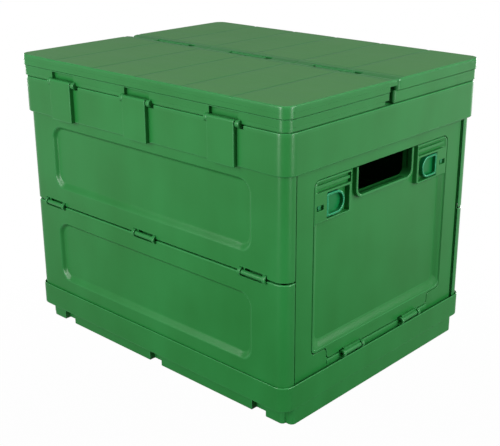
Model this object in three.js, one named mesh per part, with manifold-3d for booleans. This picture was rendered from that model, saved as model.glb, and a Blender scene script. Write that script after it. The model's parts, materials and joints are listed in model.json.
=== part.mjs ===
// Collapsible storage crate with folding long walls, swing-up end walls, drop doors and a bi-fold lid.
// Millimetres, +Z up, long side along X, lid hinges on the front (-Y) side, visible end wall at +X.
import * as THREE from 'three';
import { mergeVertices } from 'three/addons/utils/BufferGeometryUtils.js';
import Module from 'manifold-3d';

const wasm = await Module();
wasm.setup();

// Fineness of round shapes, in sides, and the weld distance of a solid's corners
const arcSides = 4;
const pinSides = 8;
const barrelSides = 14;
const weld = 0.0005;

// Clearances
const seatGap = 0.3;
const runGap = 0.4;
const overrun = 2;

// Lid: outline, upper band, lower skirt and deck
const lidLength = 430;
const lidWidth = 346.6;
const lidCorner = 13;
const lidSeamCorner = 1.5;
const lidBandHeight = 12.7;
const lidSkirtHeight = 13.7;
const lidSkirtInset = 0.8;
const lidWall = 3.2;
const lidDeck = 3;
const lidSeamOffset = 4.5;
const lidSeamStrip = 12;
const lidSeamRib = 12;
const lidSeamRibWall = 2.4;
const lidRibDepth = 3.5;
const lidRibWall = 2;
const lidRibPlaces = 5;

// Base tray: plinth, rim, floor and its underside pockets
const plinthHeight = 20.6;
const plinthInsetX = 2.2;
const plinthInsetY = 10.7;
const plinthLobeInsetX = 9;
const plinthLobeInsetY = 5;
const plinthCorner = 6;
const plinthNotchWidth = 20;
const plinthNotchDepth = 8;
const plinthNotchWall = 4.5;
const rimHeight = 28.2;
const rimInsetX = 2.2;
const rimInsetY = 2.1;
const rimCorner = 15;
const floorTop = 26;
const floorWall = 3;
const wellInset = 4;
const pocketRib = 3;
const pocketsX = 9;
const pocketsY = 7;

// Long walls: two panels a side, folding inward at the middle seam
const lowerShow = 116.4;
const upperShow = 113;
const wallInsetX = 4.7;
const wallInsetY = 4.3;
const wallCorner = 13;
const wallSkin = 5;
const wallSlab = 7.5;
const wallSlabEnd = 20;
const wallInnerCorner = 6;
const returnWidth = 16.4;
const returnWall = 1.9;
const returnTrim = 4.8;
const recessDepth = 4.5;
const recessBevel = 5.5;
const recessEndMargin = 46;
const recessSeamMargin = 22.4;
const recessFarMargin = 24.6;
const recessCorner = 17;
const pivotInset = 6;
const pivotBelowRim = 9.6;
const foldAxisProud = 0.3;
const wallLugFromEnd = 90.3;
const wallLugWidth = 14;
const wallLugHead = 5;
const wallPinRadius = 2.2;
const wallPinLength = 36;

// Middle hinges of the long walls
const midHingeFromEnd = 43.3;
const midHingeWidth = 38;
const midEarWidth = 5;
const midEarRadius = 4.2;
const midBarRadius = 3.2;
const midPinRadius = 1.5;

// Top frame: the deep collar that carries the lid, the long walls and the end walls
const collarHeight = 43.4;
const collarInsetX = 0.4;
const collarInsetY = 0.7;
const collarCorner = 16;

// Lid hinges: a raised plate on the collar's front with a barrel on top, between two lid knuckles
const lidHingeFromEnd = 84;
const plateWidth = 37.4;
const plateProud = 5.3;
const lidAxisAboveCollar = 1.1;
const lidKnuckleRadius = 4.6;
const lidBarrelRadius = 4.2;
const lidKnuckleWidth = 8;
const lidNotchHeight = 12;
const lidNotchMargin = 1.6;
const lidNotchBack = 2.4;
const lidNotchDepth = 5.2;
const lidPinRadius = 1.6;
const lidPinGrip = 4.5;

// Seam hinges between the two lid leaves
const seamHingeWidth = 54;
const seamKnuckleWidth = 10;
const seamKnuckleRadius = 1.6;
const seamPinRadius = 0.7;
const seamPocketMargin = 1.2;

// Side notches where the lid's two leaves meet
const seamNotchLength = 10;
const seamNotchTop = 7;
const seamNotchStep = 5.2;
const seamNotchStepHeight = 5;
const seamReturnCorner = 5;

// End walls: a frame hung from the collar, with a drop door in it
const endRecess = 2.2;
const endThickness = 11;
const endTongue = 2.4;
const endPivotInset = 3.8;
const endEdgeBevel = 2.1;
const endLugRoot = 3;
const endPivotDrop = 3.1;
const endStack = 18;
const endLugFromEdge = 45;
const endLugWidth = 16;
const endPinRadius = 2.2;
const endPinLength = 34;

// Drop door
const doorSideMargin = 33;
const doorHeadMargin = 15.7;
const doorCorner = 8;
const doorTabInset = 25.5;
const doorTabHeight = 14;
const doorTabCorner = 6;
const doorThickness = 8.3;
const doorGap = 0.8;
const doorRecess = 5.3;
const doorBevel = 9;
const doorEdge = 1;
const doorFieldMargin = 3;

// Door hinges at the foot of the end frame
const doorHingeInset = 41;
const doorHingeWidth = 37;
const doorEarWidth = 5;
const doorEarRadius = 4.4;
const doorBarrelRadius = 3.25;
const doorAxisProud = 3.65;
const doorAxisAboveRim = 5.7;
const doorTabAboveAxis = 1.5;
const doorPinRadius = 1.5;
const doorFootHeight = 3.5;

// Hand hole with its raised lip
const holeSideMargin = 72.5;
const holeHeight = 32.1;
const holeCorner = 8;
const holeLip = 3.2;
const holeDepth = 13.4;

// Latches: a block on the door, a pull pocket, a D-shaped pull and its bolt
const blockWidth = 61;
const blockHeight = 32;
const blockDrop = 13.5;
const pocketFromBlock = 3.5;
const pocketWidth = 37.1;
const pocketLowMargin = 1.5;
const pocketHighMargin = 2.2;
const pocketFloor = 2;
const pullLength = 29;
const pullHeight = 25;
const pullWall = 2.4;
const pullPlate = 1.6;
const boltHeight = 10;
const boltThickness = 3;
const windowMargin = 4;
const windowWidth = 10.5;
const windowHeight = 4;
const channelDepth = 4;
const channelOverlap = 5;
const channelMargin = 3;
const channelHeadMargin = 2;
const railHeight = 3.4;
const railDrop = 1.4;
const keeperDepth = 4.5;

// Finishes
const green = new THREE.MeshStandardMaterial({ color: 0x2f8a45, roughness: 0.48, metalness: 0 });
const pullGreen = new THREE.MeshStandardMaterial({ color: 0x26a06a, roughness: 0.42, metalness: 0 });
const steel = new THREE.MeshStandardMaterial({ color: 0xa8abae, roughness: 0.35, metalness: 1 });

// Levels, worked out from the heights above
const rimTop = plinthHeight + rimHeight;
const midSeam = rimTop + lowerShow;
const collarBottom = midSeam + upperShow;
const collarTop = collarBottom + collarHeight;
const lidBottom = collarTop + runGap;
const bandBottom = lidBottom + lidSkirtHeight;
const lidTop = bandBottom + lidBandHeight;
const deckBottom = lidTop - lidDeck;
const lowerPivot = rimTop - pivotBelowRim;
const pivotReach = midSeam - lowerPivot;
const ledgeTop = lowerPivot - pivotInset - runGap;

// Half sizes of each level's outline, and the planes that pieces share
const lidHalf = { x: lidLength / 2, y: lidWidth / 2 };
const collarHalf = { x: lidHalf.x - collarInsetX, y: lidHalf.y - collarInsetY };
const wallHalf = { x: lidHalf.x - wallInsetX, y: lidHalf.y - wallInsetY };
const rimHalf = { x: lidHalf.x - rimInsetX, y: lidHalf.y - rimInsetY };
const plinthHalf = { x: rimHalf.x - plinthInsetX, y: rimHalf.y - plinthInsetY };
const wallBay = { x: wallHalf.x + runGap, y: wallHalf.y + runGap };
const wallPivot = wallHalf.y - pivotInset;
const wallReturnEdge = wallHalf.y - returnWidth;
const returnReach = returnWidth - pivotInset + runGap;
const foldAxis = wallHalf.y + foldAxisProud;
const endFace = wallHalf.x - endRecess;
const endBack = endFace - endThickness;
const endPivot = endFace - endPivotInset;
const endHalf = wallReturnEdge + endTongue;
const endLugPlace = endHalf - endLugFromEdge;
const rightPivotHeight = collarTop - endPivotDrop;
const leftPivotHeight = rightPivotHeight - endStack;
const midHingePlace = wallHalf.x - midHingeFromEnd;
const wallLugPlace = wallHalf.x - wallLugFromEnd;
const lidHingePlace = lidHalf.x - lidHingeFromEnd;
const plateFace = collarHalf.y + plateProud;
const lidAxisY = -(plateFace - lidKnuckleRadius);
const lidAxisZ = collarTop + lidAxisAboveCollar;
const seamAxisZ = lidTop - seamKnuckleRadius;

// The door's outline, hinge axis and features, from the frame around it
const doorBack = endFace - doorThickness;
const doorAxis = endFace + doorAxisProud;
const doorAxisHeight = rimTop + doorAxisAboveRim;
const doorHalf = endHalf - doorSideMargin;
const doorTop = collarBottom - doorHeadMargin;
const doorTabHalf = doorHalf - doorTabInset;
const doorTabBottom = doorAxisHeight + doorTabAboveAxis;
const doorBottom = doorTabBottom + doorTabHeight;
const doorFieldBottom = doorBottom + doorFieldMargin;
const doorHingePlace = doorTabHalf - doorHingeInset;
const holeHalf = doorHalf - holeSideMargin;
const holeBottom = doorTop - holeHeight;
const blockInner = doorHalf - blockWidth;
const blockTop = doorTop - blockDrop;
const blockBottom = blockTop - blockHeight;
const pocketInner = blockInner + pocketFromBlock;
const pocketOuter = pocketInner + pocketWidth;
const pocketBottom = blockBottom + pocketLowMargin;
const pocketTop = blockTop - pocketHighMargin;
const windowOuter = doorHalf - windowMargin;
const windowInner = windowOuter - windowWidth;
const channelInner = blockInner - channelOverlap;
const channelOuter = doorHalf - channelMargin;
const channelTop = doorTop - channelHeadMargin;

// Solids from three.js geometry, joined and cut
function toSolid(geometry, matrix) {
  const shape = geometry.index ? geometry.toNonIndexed() : geometry;
  shape.deleteAttribute('normal');
  shape.deleteAttribute('uv');
  if (matrix) shape.applyMatrix4(matrix);
  const merged = mergeVertices(shape, weld);
  return new wasm.Manifold(new wasm.Mesh({
    numProp: 3,
    vertProperties: Float32Array.from(merged.attributes.position.array),
    triVerts: Uint32Array.from(merged.index.array),
  }));
}

function toGeometry(solid) {
  const data = solid.getMesh();
  const geometry = new THREE.BufferGeometry();
  geometry.setAttribute('position', new THREE.BufferAttribute(data.vertProperties, data.numProp));
  geometry.setIndex(new THREE.BufferAttribute(data.triVerts, 1));
  geometry.computeVertexNormals();
  return geometry;
}

function join(first, ...rest) {
  return rest.flat().reduce((body, piece) => body.add(piece), first);
}

function cut(first, ...rest) {
  return rest.flat().reduce((body, piece) => body.subtract(piece), first);
}

// A block between two corners, given as pairs in any order
function block([xa, xb], [ya, yb], [za, zb]) {
  const box = new THREE.BoxGeometry(Math.abs(xb - xa), Math.abs(yb - ya), Math.abs(zb - za));
  box.translate((xa + xb) / 2, (ya + yb) / 2, (za + zb) / 2);
  return toSolid(box);
}

const alongX = new THREE.Matrix4().makeBasis(
  new THREE.Vector3(0, 1, 0), new THREE.Vector3(0, 0, 1), new THREE.Vector3(1, 0, 0));

// An outline in plan, or in (Y, Z) when turned, drawn out between two stations of the third axis
function drawn(shape, [from, to], turn) {
  const low = Math.min(from, to);
  const geometry = new THREE.ExtrudeGeometry(shape, {
    depth: Math.abs(to - from), bevelEnabled: false, curveSegments: arcSides,
  });
  geometry.translate(0, 0, low);
  return toSolid(geometry, turn);
}

// A round bar along X at (y, z), or along Y at (x, z)
function barAlongX(y, z, radius, [from, to], sides = barrelSides) {
  const bar = new THREE.CylinderGeometry(radius, radius, to - from, sides);
  bar.rotateZ(-Math.PI / 2);
  bar.translate((from + to) / 2, y, z);
  return toSolid(bar);
}

function barAlongY(x, z, radius, [from, to], sides = barrelSides) {
  const bar = new THREE.CylinderGeometry(radius, radius, to - from, sides);
  bar.translate(x, (from + to) / 2, z);
  return toSolid(bar);
}

// A rectangle between two corners with its own radius at each corner
function roundedOutline([xa, xb], [ya, yb], radii) {
  const [lowLeft, lowRight, highRight, highLeft] = radii;
  const shape = new THREE.Shape();
  shape.moveTo(xa + lowLeft, ya);
  shape.lineTo(xb - lowRight, ya);
  shape.absarc(xb - lowRight, ya + lowRight, lowRight, -Math.PI / 2, 0);
  shape.lineTo(xb, yb - highRight);
  shape.absarc(xb - highRight, yb - highRight, highRight, 0, Math.PI / 2);
  shape.lineTo(xa + highLeft, yb);
  shape.absarc(xa + highLeft, yb - highLeft, highLeft, Math.PI / 2, Math.PI);
  shape.lineTo(xa, ya + lowLeft);
  shape.absarc(xa + lowLeft, ya + lowLeft, lowLeft, Math.PI, 1.5 * Math.PI);
  return shape;
}

function roundedRect(halfX, halfY, radius) {
  return roundedOutline([-halfX, halfX], [-halfY, halfY], [radius, radius, radius, radius]);
}

// A recess cutter with sloped sides: a rounded rectangle that shrinks by the bevel over the depth.
// place(a, b, depth) puts a point of the outline at a depth below the face.
function bevelledCutter([aa, ab], [ba, bb], radius, bevel, depth, place) {
  const rings = [
    { grow: (bevel * overrun) / depth, depth: -overrun },
    { grow: -bevel, depth },
  ];
  const positions = [];
  const faces = [];
  let count = 0;
  for (const ring of rings) {
    const corner = Math.max(radius + ring.grow, overrun);
    const shape = roundedOutline([aa - ring.grow, ab + ring.grow], [ba - ring.grow, bb + ring.grow],
      [corner, corner, corner, corner]);
    const points = shape.getPoints(arcSides).slice(0, -1);
    const outline = points.filter((point, at) => at === 0 || point.distanceTo(points[at - 1]) > weld);
    count = outline.length;
    for (const point of outline) positions.push(...place(point.x, point.y, ring.depth));
  }
  for (let at = 0; at < count; at += 1) {
    const next = (at + 1) % count;
    faces.push(at, count + at, next, next, count + at, count + next);
    if (at > 1) {
      faces.push(0, at - 1, at);
      faces.push(count, count + at, count + at - 1);
    }
  }
  const geometry = new THREE.BufferGeometry();
  geometry.setAttribute('position', new THREE.Float32BufferAttribute(positions, 3));
  geometry.setIndex(faces);
  return toSolid(geometry);
}

function piece(name, solid, material) {
  const mesh = new THREE.Mesh(toGeometry(solid), material);
  mesh.name = name;
  return mesh;
}

// A pin is a plain cylinder, placed and turned to lie along X or Y
function pin(name, radius, length, along, [x, y, z]) {
  const mesh = new THREE.Mesh(new THREE.CylinderGeometry(radius, radius, length, pinSides), steel);
  mesh.name = name;
  if (along === 'x') mesh.rotation.z = -Math.PI / 2;
  mesh.position.set(x, y, z);
  return mesh;
}

const bothSigns = [-1, 1];
const threePlaces = [-1, 0, 1];

// Names of places along X, and of rows across it. A wall that is turned about Z has them reversed.
const alongName = (place) => ['left', 'centre', 'right'][place + 1];
const acrossName = (place) => ['near', 'middle', 'far'][place + 1];

// Base tray
function baseTray() {
  const rim = drawn(roundedRect(rimHalf.x, rimHalf.y, rimCorner), [plinthHeight, rimTop]);
  const plinthRise = plinthHeight + floorWall / 2;
  const sideLobe = drawn(
    roundedRect(plinthHalf.x - plinthLobeInsetX, plinthHalf.y, plinthCorner), [0, plinthRise]);
  const endLobe = drawn(
    roundedRect(plinthHalf.x, plinthHalf.y - plinthLobeInsetY, plinthCorner), [0, plinthRise]);
  const bay = drawn(
    roundedRect(wallBay.x, wallBay.y, wallCorner + runGap), [ledgeTop, rimTop + overrun]);
  const well = drawn(
    roundedRect(endBack - wellInset, wallPivot - pivotInset - wellInset, wallCorner),
    [floorTop, ledgeTop + overrun]);
  const lugs = [];
  const bores = [];
  const relief = [];
  for (const side of bothSigns) {
    const inner = side * (wallPivot - pivotInset);
    const outer = side * (wallBay.y + runGap);
    for (const place of bothSigns) {
      const x = place * wallLugPlace;
      lugs.push(block([x - wallLugWidth / 2, x + wallLugWidth / 2], [inner, outer],
        [ledgeTop - overrun, lowerPivot + wallLugHead]));
      bores.push(barAlongX(side * wallPivot, lowerPivot, wallPinRadius + seatGap,
        [x - wallLugWidth, x + wallLugWidth], pinSides));
      const returnInner = wallHalf.x - returnWall - runGap;
      relief.push(block([place * returnInner, place * wallBay.x], [0, side * (wallPivot - seatGap)],
        [lowerPivot - returnReach, ledgeTop + overrun]));
    }
    for (const place of threePlaces) {
      const x = place * midHingePlace;
      relief.push(block([x - plinthNotchWidth / 2, x + plinthNotchWidth / 2],
        [side * (plinthHalf.y - plinthNotchDepth), side * (plinthHalf.y + overrun)],
        [-overrun, plinthHeight]));
    }
  }
  const pocketHalfX = plinthHalf.x - plinthLobeInsetX;
  const pocketHalfY = plinthHalf.y - plinthNotchDepth - plinthNotchWall;
  const stepX = (2 * pocketHalfX) / pocketsX;
  const stepY = (2 * pocketHalfY) / pocketsY;
  for (let column = 0; column < pocketsX; column += 1) {
    for (let row = 0; row < pocketsY; row += 1) {
      const x = -pocketHalfX + column * stepX;
      const y = -pocketHalfY + row * stepY;
      relief.push(block([x + pocketRib / 2, x + stepX - pocketRib / 2],
        [y + pocketRib / 2, y + stepY - pocketRib / 2], [-overrun, floorTop - floorWall]));
    }
  }
  return cut(join(cut(join(rim, sideLobe, endLobe), bay, well), lugs), bores, relief);
}

// One panel of the front wall. Heights run away from the middle seam: down on the lower panel, up on
// the upper one. Distances out run towards -Y.
function wallPanel(isUpper) {
  const sense = isUpper ? 1 : -1;
  const level = (rise) => midSeam + sense * rise;
  const span = (from, to) => [level(from), level(to)];
  const out = (from, to) => [-from, -to];
  const edge = seatGap;
  const slabEnd = wallHalf.x - wallSlabEnd;

  const outer = drawn(roundedRect(wallHalf.x, wallHalf.y, wallCorner), span(edge, pivotReach - returnTrim));
  const inner = drawn(roundedRect(wallHalf.x - returnWall, wallHalf.y - wallSkin, wallInnerCorner),
    span(-overrun, pivotReach + overrun));
  const rest = block([-lidLength, lidLength], out(wallReturnEdge, -lidWidth),
    span(-overrun, pivotReach + overrun));
  const slab = block([-slabEnd, slabEnd], out(wallHalf.y - wallSlab, wallHalf.y), span(edge, pivotReach));
  const barrel = barAlongX(-wallPivot, level(pivotReach), pivotInset, [-slabEnd, slabEnd]);
  let body = join(cut(outer, inner, rest), slab, barrel);

  const recessHalf = wallHalf.x - recessEndMargin;
  const recess = bevelledCutter([-recessHalf, recessHalf],
    [recessSeamMargin, pivotReach - recessFarMargin], recessCorner, recessBevel, recessDepth,
    (along, rise, depth) => [sense * along, -(wallHalf.y - depth), level(rise)]);
  body = cut(body, recess);

  const ownKnuckles = [];
  const clearances = [];
  const bores = [];
  for (const place of threePlaces) {
    const x = place * midHingePlace;
    const end = midHingeWidth / 2;
    const earStart = end - midEarWidth;
    const ears = [[x - end, x - earStart], [x + earStart, x + end]];
    const bar = [x - earStart + runGap, x + earStart - runGap];
    const barRoom = [x - earStart, x + earStart];
    if (isUpper) {
      ownKnuckles.push(barAlongX(-foldAxis, midSeam, midBarRadius, bar));
      for (const [from, to] of ears) {
        clearances.push(barAlongX(-foldAxis, midSeam, midEarRadius + runGap, [from - runGap, to + runGap]));
      }
    } else {
      for (const ear of ears) ownKnuckles.push(barAlongX(-foldAxis, midSeam, midEarRadius, ear));
      clearances.push(barAlongX(-foldAxis, midSeam, midBarRadius + runGap, barRoom));
    }
    bores.push(barAlongX(-foldAxis, midSeam, midPinRadius + seatGap, [x - end - overrun, x + end + overrun],
      pinSides));
  }
  for (const place of bothSigns) {
    const x = place * wallLugPlace;
    const gap = wallLugWidth / 2 + runGap;
    const sweep = Math.hypot(pivotInset, wallLugHead) + runGap;
    clearances.push(block([x - gap, x + gap], out(wallPivot - pivotInset - overrun, wallHalf.y + overrun),
      span(pivotReach - sweep, pivotReach + sweep)));
    const reach = wallPinLength / 2 + seatGap;
    bores.push(barAlongX(-wallPivot, level(pivotReach), wallPinRadius + seatGap, [x - reach, x + reach],
      pinSides));
  }
  return cut(join(cut(body, clearances), ownKnuckles), bores);
}

// Top frame: the collar, its hinge plates for the lid, and the lugs that carry the four walls
function topFrame() {
  const upperPivot = midSeam + pivotReach;
  const ring = cut(
    drawn(roundedRect(collarHalf.x, collarHalf.y, collarCorner), [collarBottom, collarTop]),
    drawn(roundedRect(wallBay.x, wallBay.y, wallCorner + runGap),
      [collarBottom - overrun, collarTop + overrun]));
  const added = [];
  const removed = [];
  for (const place of threePlaces) {
    const x = place * lidHingePlace;
    const half = plateWidth / 2;
    added.push(block([x - half, x + half], [-plateFace, -(collarHalf.y - overrun / 2)],
      [collarBottom, collarTop]));
    added.push(barAlongX(lidAxisY, lidAxisZ, lidBarrelRadius, [x - half, x + half]));
    const room = half + runGap + lidKnuckleWidth + runGap;
    for (const side of bothSigns) {
      removed.push(block([x + side * half, x + side * room], [-(plateFace + overrun), -(wallBay.y - overrun)],
        [lidAxisZ - lidKnuckleRadius - runGap, collarTop + overrun]));
    }
    removed.push(block([x - half - overrun, x + half + overrun], [-wallBay.y, -(wallBay.y - pivotInset)],
      [lidAxisZ - lidKnuckleRadius, lidAxisZ + lidKnuckleRadius]));
    removed.push(barAlongX(lidAxisY, lidAxisZ, lidPinRadius + seatGap,
      [x - half - overrun, x + half + overrun], pinSides));
  }
  for (const side of bothSigns) {
    for (const place of bothSigns) {
      const x = place * wallLugPlace;
      added.push(block([x - wallLugWidth / 2, x + wallLugWidth / 2],
        [side * (wallPivot - wallLugHead), side * (wallBay.y + runGap)],
        [upperPivot - wallLugHead, upperPivot + pivotInset]));
      removed.push(barAlongX(side * wallPivot, upperPivot, wallPinRadius + seatGap,
        [x - wallLugWidth, x + wallLugWidth], pinSides));
    }
  }
  for (const [sense, pivotHeight] of [[1, rightPivotHeight], [-1, leftPivotHeight]]) {
    for (const place of bothSigns) {
      const y = place * endLugPlace;
      const half = endLugWidth / 2;
      const lugTop = Math.min(pivotHeight + endPivotInset + endLugRoot, collarTop);
      const rootBottom = Math.max(pivotHeight - endPivotInset, upperPivot + returnReach);
      added.push(block([sense * endPivot, sense * endFace], [y - half, y + half], [pivotHeight, lugTop]));
      added.push(block([sense * endPivot, sense * (wallBay.x + runGap)], [y - half, y + half],
        [rootBottom, lugTop]));
      added.push(barAlongY(sense * endPivot, pivotHeight, endPivotInset, [y - half, y + half]));
      removed.push(barAlongY(sense * endPivot, pivotHeight, endPinRadius + seatGap,
        [y - endLugWidth, y + endLugWidth], pinSides));
    }
  }
  return cut(join(ring, added), removed);
}

// One leaf of the lid, between its outer edge and the seam. side is -1 for the front leaf.
function lidLeaf(side) {
  const seam = lidSeamOffset + side * seatGap;
  const outerEdge = side * lidHalf.y;
  const rows = (inset, seamInset) => {
    const far = outerEdge - side * inset;
    const near = seam + side * seamInset;
    return side < 0 ? [far, near] : [near, far];
  };
  const corners = (outer, near) => (side < 0 ? [outer, outer, near, near] : [near, near, outer, outer]);
  const leafOutline = (inset, seamInset, outer, near) => roundedOutline(
    [-(lidHalf.x - inset), lidHalf.x - inset], rows(inset, seamInset), corners(outer, near));

  const seamWall = lidSkirtInset + seamReturnCorner;
  const band = drawn(leafOutline(0, 0, lidCorner, lidSeamCorner), [bandBottom, lidTop]);
  const skirt = drawn(leafOutline(lidSkirtInset, 0, lidCorner - lidSkirtInset, seamReturnCorner),
    [lidBottom, bandBottom + overrun]);
  const ribBottom = deckBottom - lidSeamRib;
  const lowHalf = lidHalf.x - seamWall;
  const lowHollow = block([-lowHalf, lowHalf], [seam - side * overrun, seam + side * seamWall],
    [lidBottom - overrun, ribBottom]);
  const hollow = drawn(leafOutline(lidWall, lidSeamRibWall, lidCorner - lidWall, lidSeamCorner),
    [lidBottom - overrun, deckBottom]);
  const strip = block([-lidLength, lidLength], [seam - side * overrun, seam + side * lidSeamStrip],
    [seamAxisZ - seatGap / 2, lidTop + overrun]);
  let body = cut(join(band, skirt), hollow, lowHollow, strip);

  const ribs = [];
  const ribRows = rows(lidWall - lidRibWall / 2, lidSeamRibWall / 2);
  for (let at = 0; at < lidRibPlaces; at += 1) {
    const x = -lidHalf.x + ((at + 1) * lidLength) / (lidRibPlaces + 1);
    ribs.push(block([x - lidRibWall / 2, x + lidRibWall / 2], ribRows,
      [deckBottom - lidRibDepth, deckBottom + lidDeck / 3]));
  }
  body = join(body, ribs);

  const added = [];
  const removed = [];
  for (const place of threePlaces) {
    const x = place * lidHingePlace;
    const half = seamHingeWidth / 2;
    const inner = half - seamKnuckleWidth;
    const pocket = seamKnuckleRadius + seamPocketMargin;
    removed.push(block([x - half - seamPocketMargin, x + half + seamPocketMargin],
      [seam - side * overrun, lidSeamOffset + side * pocket], [seamAxisZ - pocket, lidTop + overrun]));
    const own = side < 0
      ? [[x - half, x - inner], [x + inner, x + half]]
      : [[x - inner + runGap, x + inner - runGap]];
    for (const [from, to] of own) {
      added.push(join(
        barAlongX(lidSeamOffset, seamAxisZ, seamKnuckleRadius, [from, to], pinSides),
        block([from, to], [lidSeamOffset, lidSeamOffset + side * (pocket + seamPocketMargin)],
          [seamAxisZ - seamKnuckleRadius, seamAxisZ - seatGap / 2])));
    }
  }
  body = cut(body, removed);
  body = join(body, added);
  const boreHalf = seamHingeWidth / 2 + overrun;
  const pinRooms = threePlaces.map((place) => barAlongX(lidSeamOffset, seamAxisZ, seamPinRadius + seatGap,
    [place * lidHingePlace - boreHalf, place * lidHingePlace + boreHalf], pinSides));
  return cut(body, pinRooms);
}

function lidFrontLeaf() {
  let body = lidLeaf(-1);
  const boxes = [];
  const removed = [];
  const added = [];
  const bores = [];
  for (const place of threePlaces) {
    const x = place * lidHingePlace;
    const half = plateWidth / 2;
    const notch = half + lidNotchMargin;
    const back = lidHalf.y - lidNotchDepth;
    boxes.push(block([x - notch - lidNotchBack, x + notch + lidNotchBack],
      [-(back - lidNotchBack), -(lidHalf.y - lidWall / 2 - lidSkirtInset)],
      [lidBottom, deckBottom + lidDeck / 3]));
    removed.push(block([x - notch, x + notch], [-(lidHalf.y + overrun), -back],
      [lidBottom - overrun, lidBottom + lidNotchHeight]));
    for (const side of bothSigns) {
      const ends = [x + side * (half + runGap), x + side * (half + runGap + lidKnuckleWidth)];
      added.push(barAlongX(lidAxisY, lidAxisZ, lidKnuckleRadius, [Math.min(...ends), Math.max(...ends)]));
    }
    bores.push(barAlongX(lidAxisY, lidAxisZ, lidPinRadius + seatGap,
      [x - half - lidPinGrip - seatGap, x + half + lidPinGrip + seatGap], pinSides));
  }
  for (const side of bothSigns) {
    const face = [side * (lidHalf.x - lidWall - overrun), side * (lidHalf.x + overrun)];
    const seam = lidSeamOffset + overrun;
    removed.push(block(face, [lidSeamOffset - seamNotchLength, seam],
      [lidBottom - overrun, lidTop - seamNotchTop]));
    removed.push(block(face, [lidSeamOffset - seamNotchLength - seamNotchStep, seam],
      [lidBottom - overrun, lidBottom + seamNotchStepHeight]));
  }
  body = join(cut(join(body, boxes), removed), added);
  return cut(body, bores);
}

// End frame of the right wall, hung at a given height
function endFrame(pivotHeight) {
  const plan = new THREE.Shape();
  plan.moveTo(endBack, -endHalf);
  plan.lineTo(endFace - endEdgeBevel, -endHalf);
  plan.lineTo(endFace, endEdgeBevel - endHalf);
  plan.lineTo(endFace, endHalf - endEdgeBevel);
  plan.lineTo(endFace - endEdgeBevel, endHalf);
  plan.lineTo(endBack, endHalf);
  const slab = drawn(plan, [ledgeTop + runGap, pivotHeight]);
  const barrel = barAlongY(endPivot, pivotHeight, endPivotInset, [-endHalf, endHalf]);
  const opening = drawn(doorOutline(doorGap), [endBack - overrun, endFace + overrun], alongX);
  const added = [];
  const removed = [];
  for (const place of bothSigns) {
    const lug = place * endLugPlace;
    const room = endLugWidth / 2 + runGap;
    removed.push(block([endBack - overrun, endFace + overrun], [lug - room, lug + room],
      [pivotHeight - endPivotInset - overrun / 2, pivotHeight + endPivotInset + overrun]));
    const pinRoom = endPinLength / 2 + seatGap;
    removed.push(barAlongY(endPivot, pivotHeight, endPinRadius + seatGap,
      [lug - pinRoom, lug + pinRoom], pinSides));
    const keeper = doorHalf + doorGap + keeperDepth;
    const boltMiddle = (pocketBottom + pocketTop) / 2;
    removed.push(block([doorBack + pocketFloor, doorBack + pocketFloor + boltThickness + 2 * runGap],
      [place * (doorHalf), place * keeper],
      [boltMiddle - boltHeight / 2 - runGap, boltMiddle + boltHeight / 2 + runGap]));
    const hinge = place * doorHingePlace;
    const end = doorHingeWidth / 2;
    for (const side of bothSigns) {
      const ends = [hinge + side * (end - doorEarWidth), hinge + side * end];
      const ear = [Math.min(...ends), Math.max(...ends)];
      added.push(barAlongY(doorAxis, doorAxisHeight, doorEarRadius, ear));
      added.push(block([endFace - overrun, doorAxis], ear,
        [doorAxisHeight - doorEarRadius, doorAxisHeight]));
    }
    removed.push(barAlongY(doorAxis, doorAxisHeight, doorPinRadius + seatGap,
      [hinge - end - overrun, hinge + end + overrun], pinSides));
  }
  return cut(join(cut(join(slab, barrel), opening), added), removed);
}

// The door's outline in (Y, Z), with the hinge tab below, grown by a gap
function doorOutline(grow) {
  const side = doorHalf + grow;
  const tab = doorTabHalf + grow;
  const low = doorBottom - grow;
  const foot = doorTabBottom - grow;
  const high = doorTop + grow;
  const round = doorCorner + grow;
  const shape = new THREE.Shape();
  shape.moveTo(-tab + doorTabCorner, foot);
  shape.lineTo(tab - doorTabCorner, foot);
  shape.absarc(tab - doorTabCorner, foot + doorTabCorner, doorTabCorner, -Math.PI / 2, 0);
  shape.lineTo(tab, low);
  shape.lineTo(side - doorTabCorner, low);
  shape.absarc(side - doorTabCorner, low + doorTabCorner, doorTabCorner, -Math.PI / 2, 0);
  shape.lineTo(side, high - round);
  shape.absarc(side - round, high - round, round, 0, Math.PI / 2);
  shape.lineTo(-side + round, high);
  shape.absarc(-side + round, high - round, round, Math.PI / 2, Math.PI);
  shape.lineTo(-side, low + doorTabCorner);
  shape.absarc(-side + doorTabCorner, low + doorTabCorner, doorTabCorner, Math.PI, 1.5 * Math.PI);
  shape.lineTo(-tab, low);
  shape.lineTo(-tab, foot + doorTabCorner);
  shape.absarc(-tab + doorTabCorner, foot + doorTabCorner, doorTabCorner, Math.PI, 1.5 * Math.PI);
  return shape;
}

function handHole(grow, bottomGrow) {
  const half = holeHalf + grow;
  return roundedOutline([-half, half], [holeBottom - bottomGrow, doorTop + overrun + grow],
    [holeCorner, holeCorner, overrun, overrun]);
}

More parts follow.
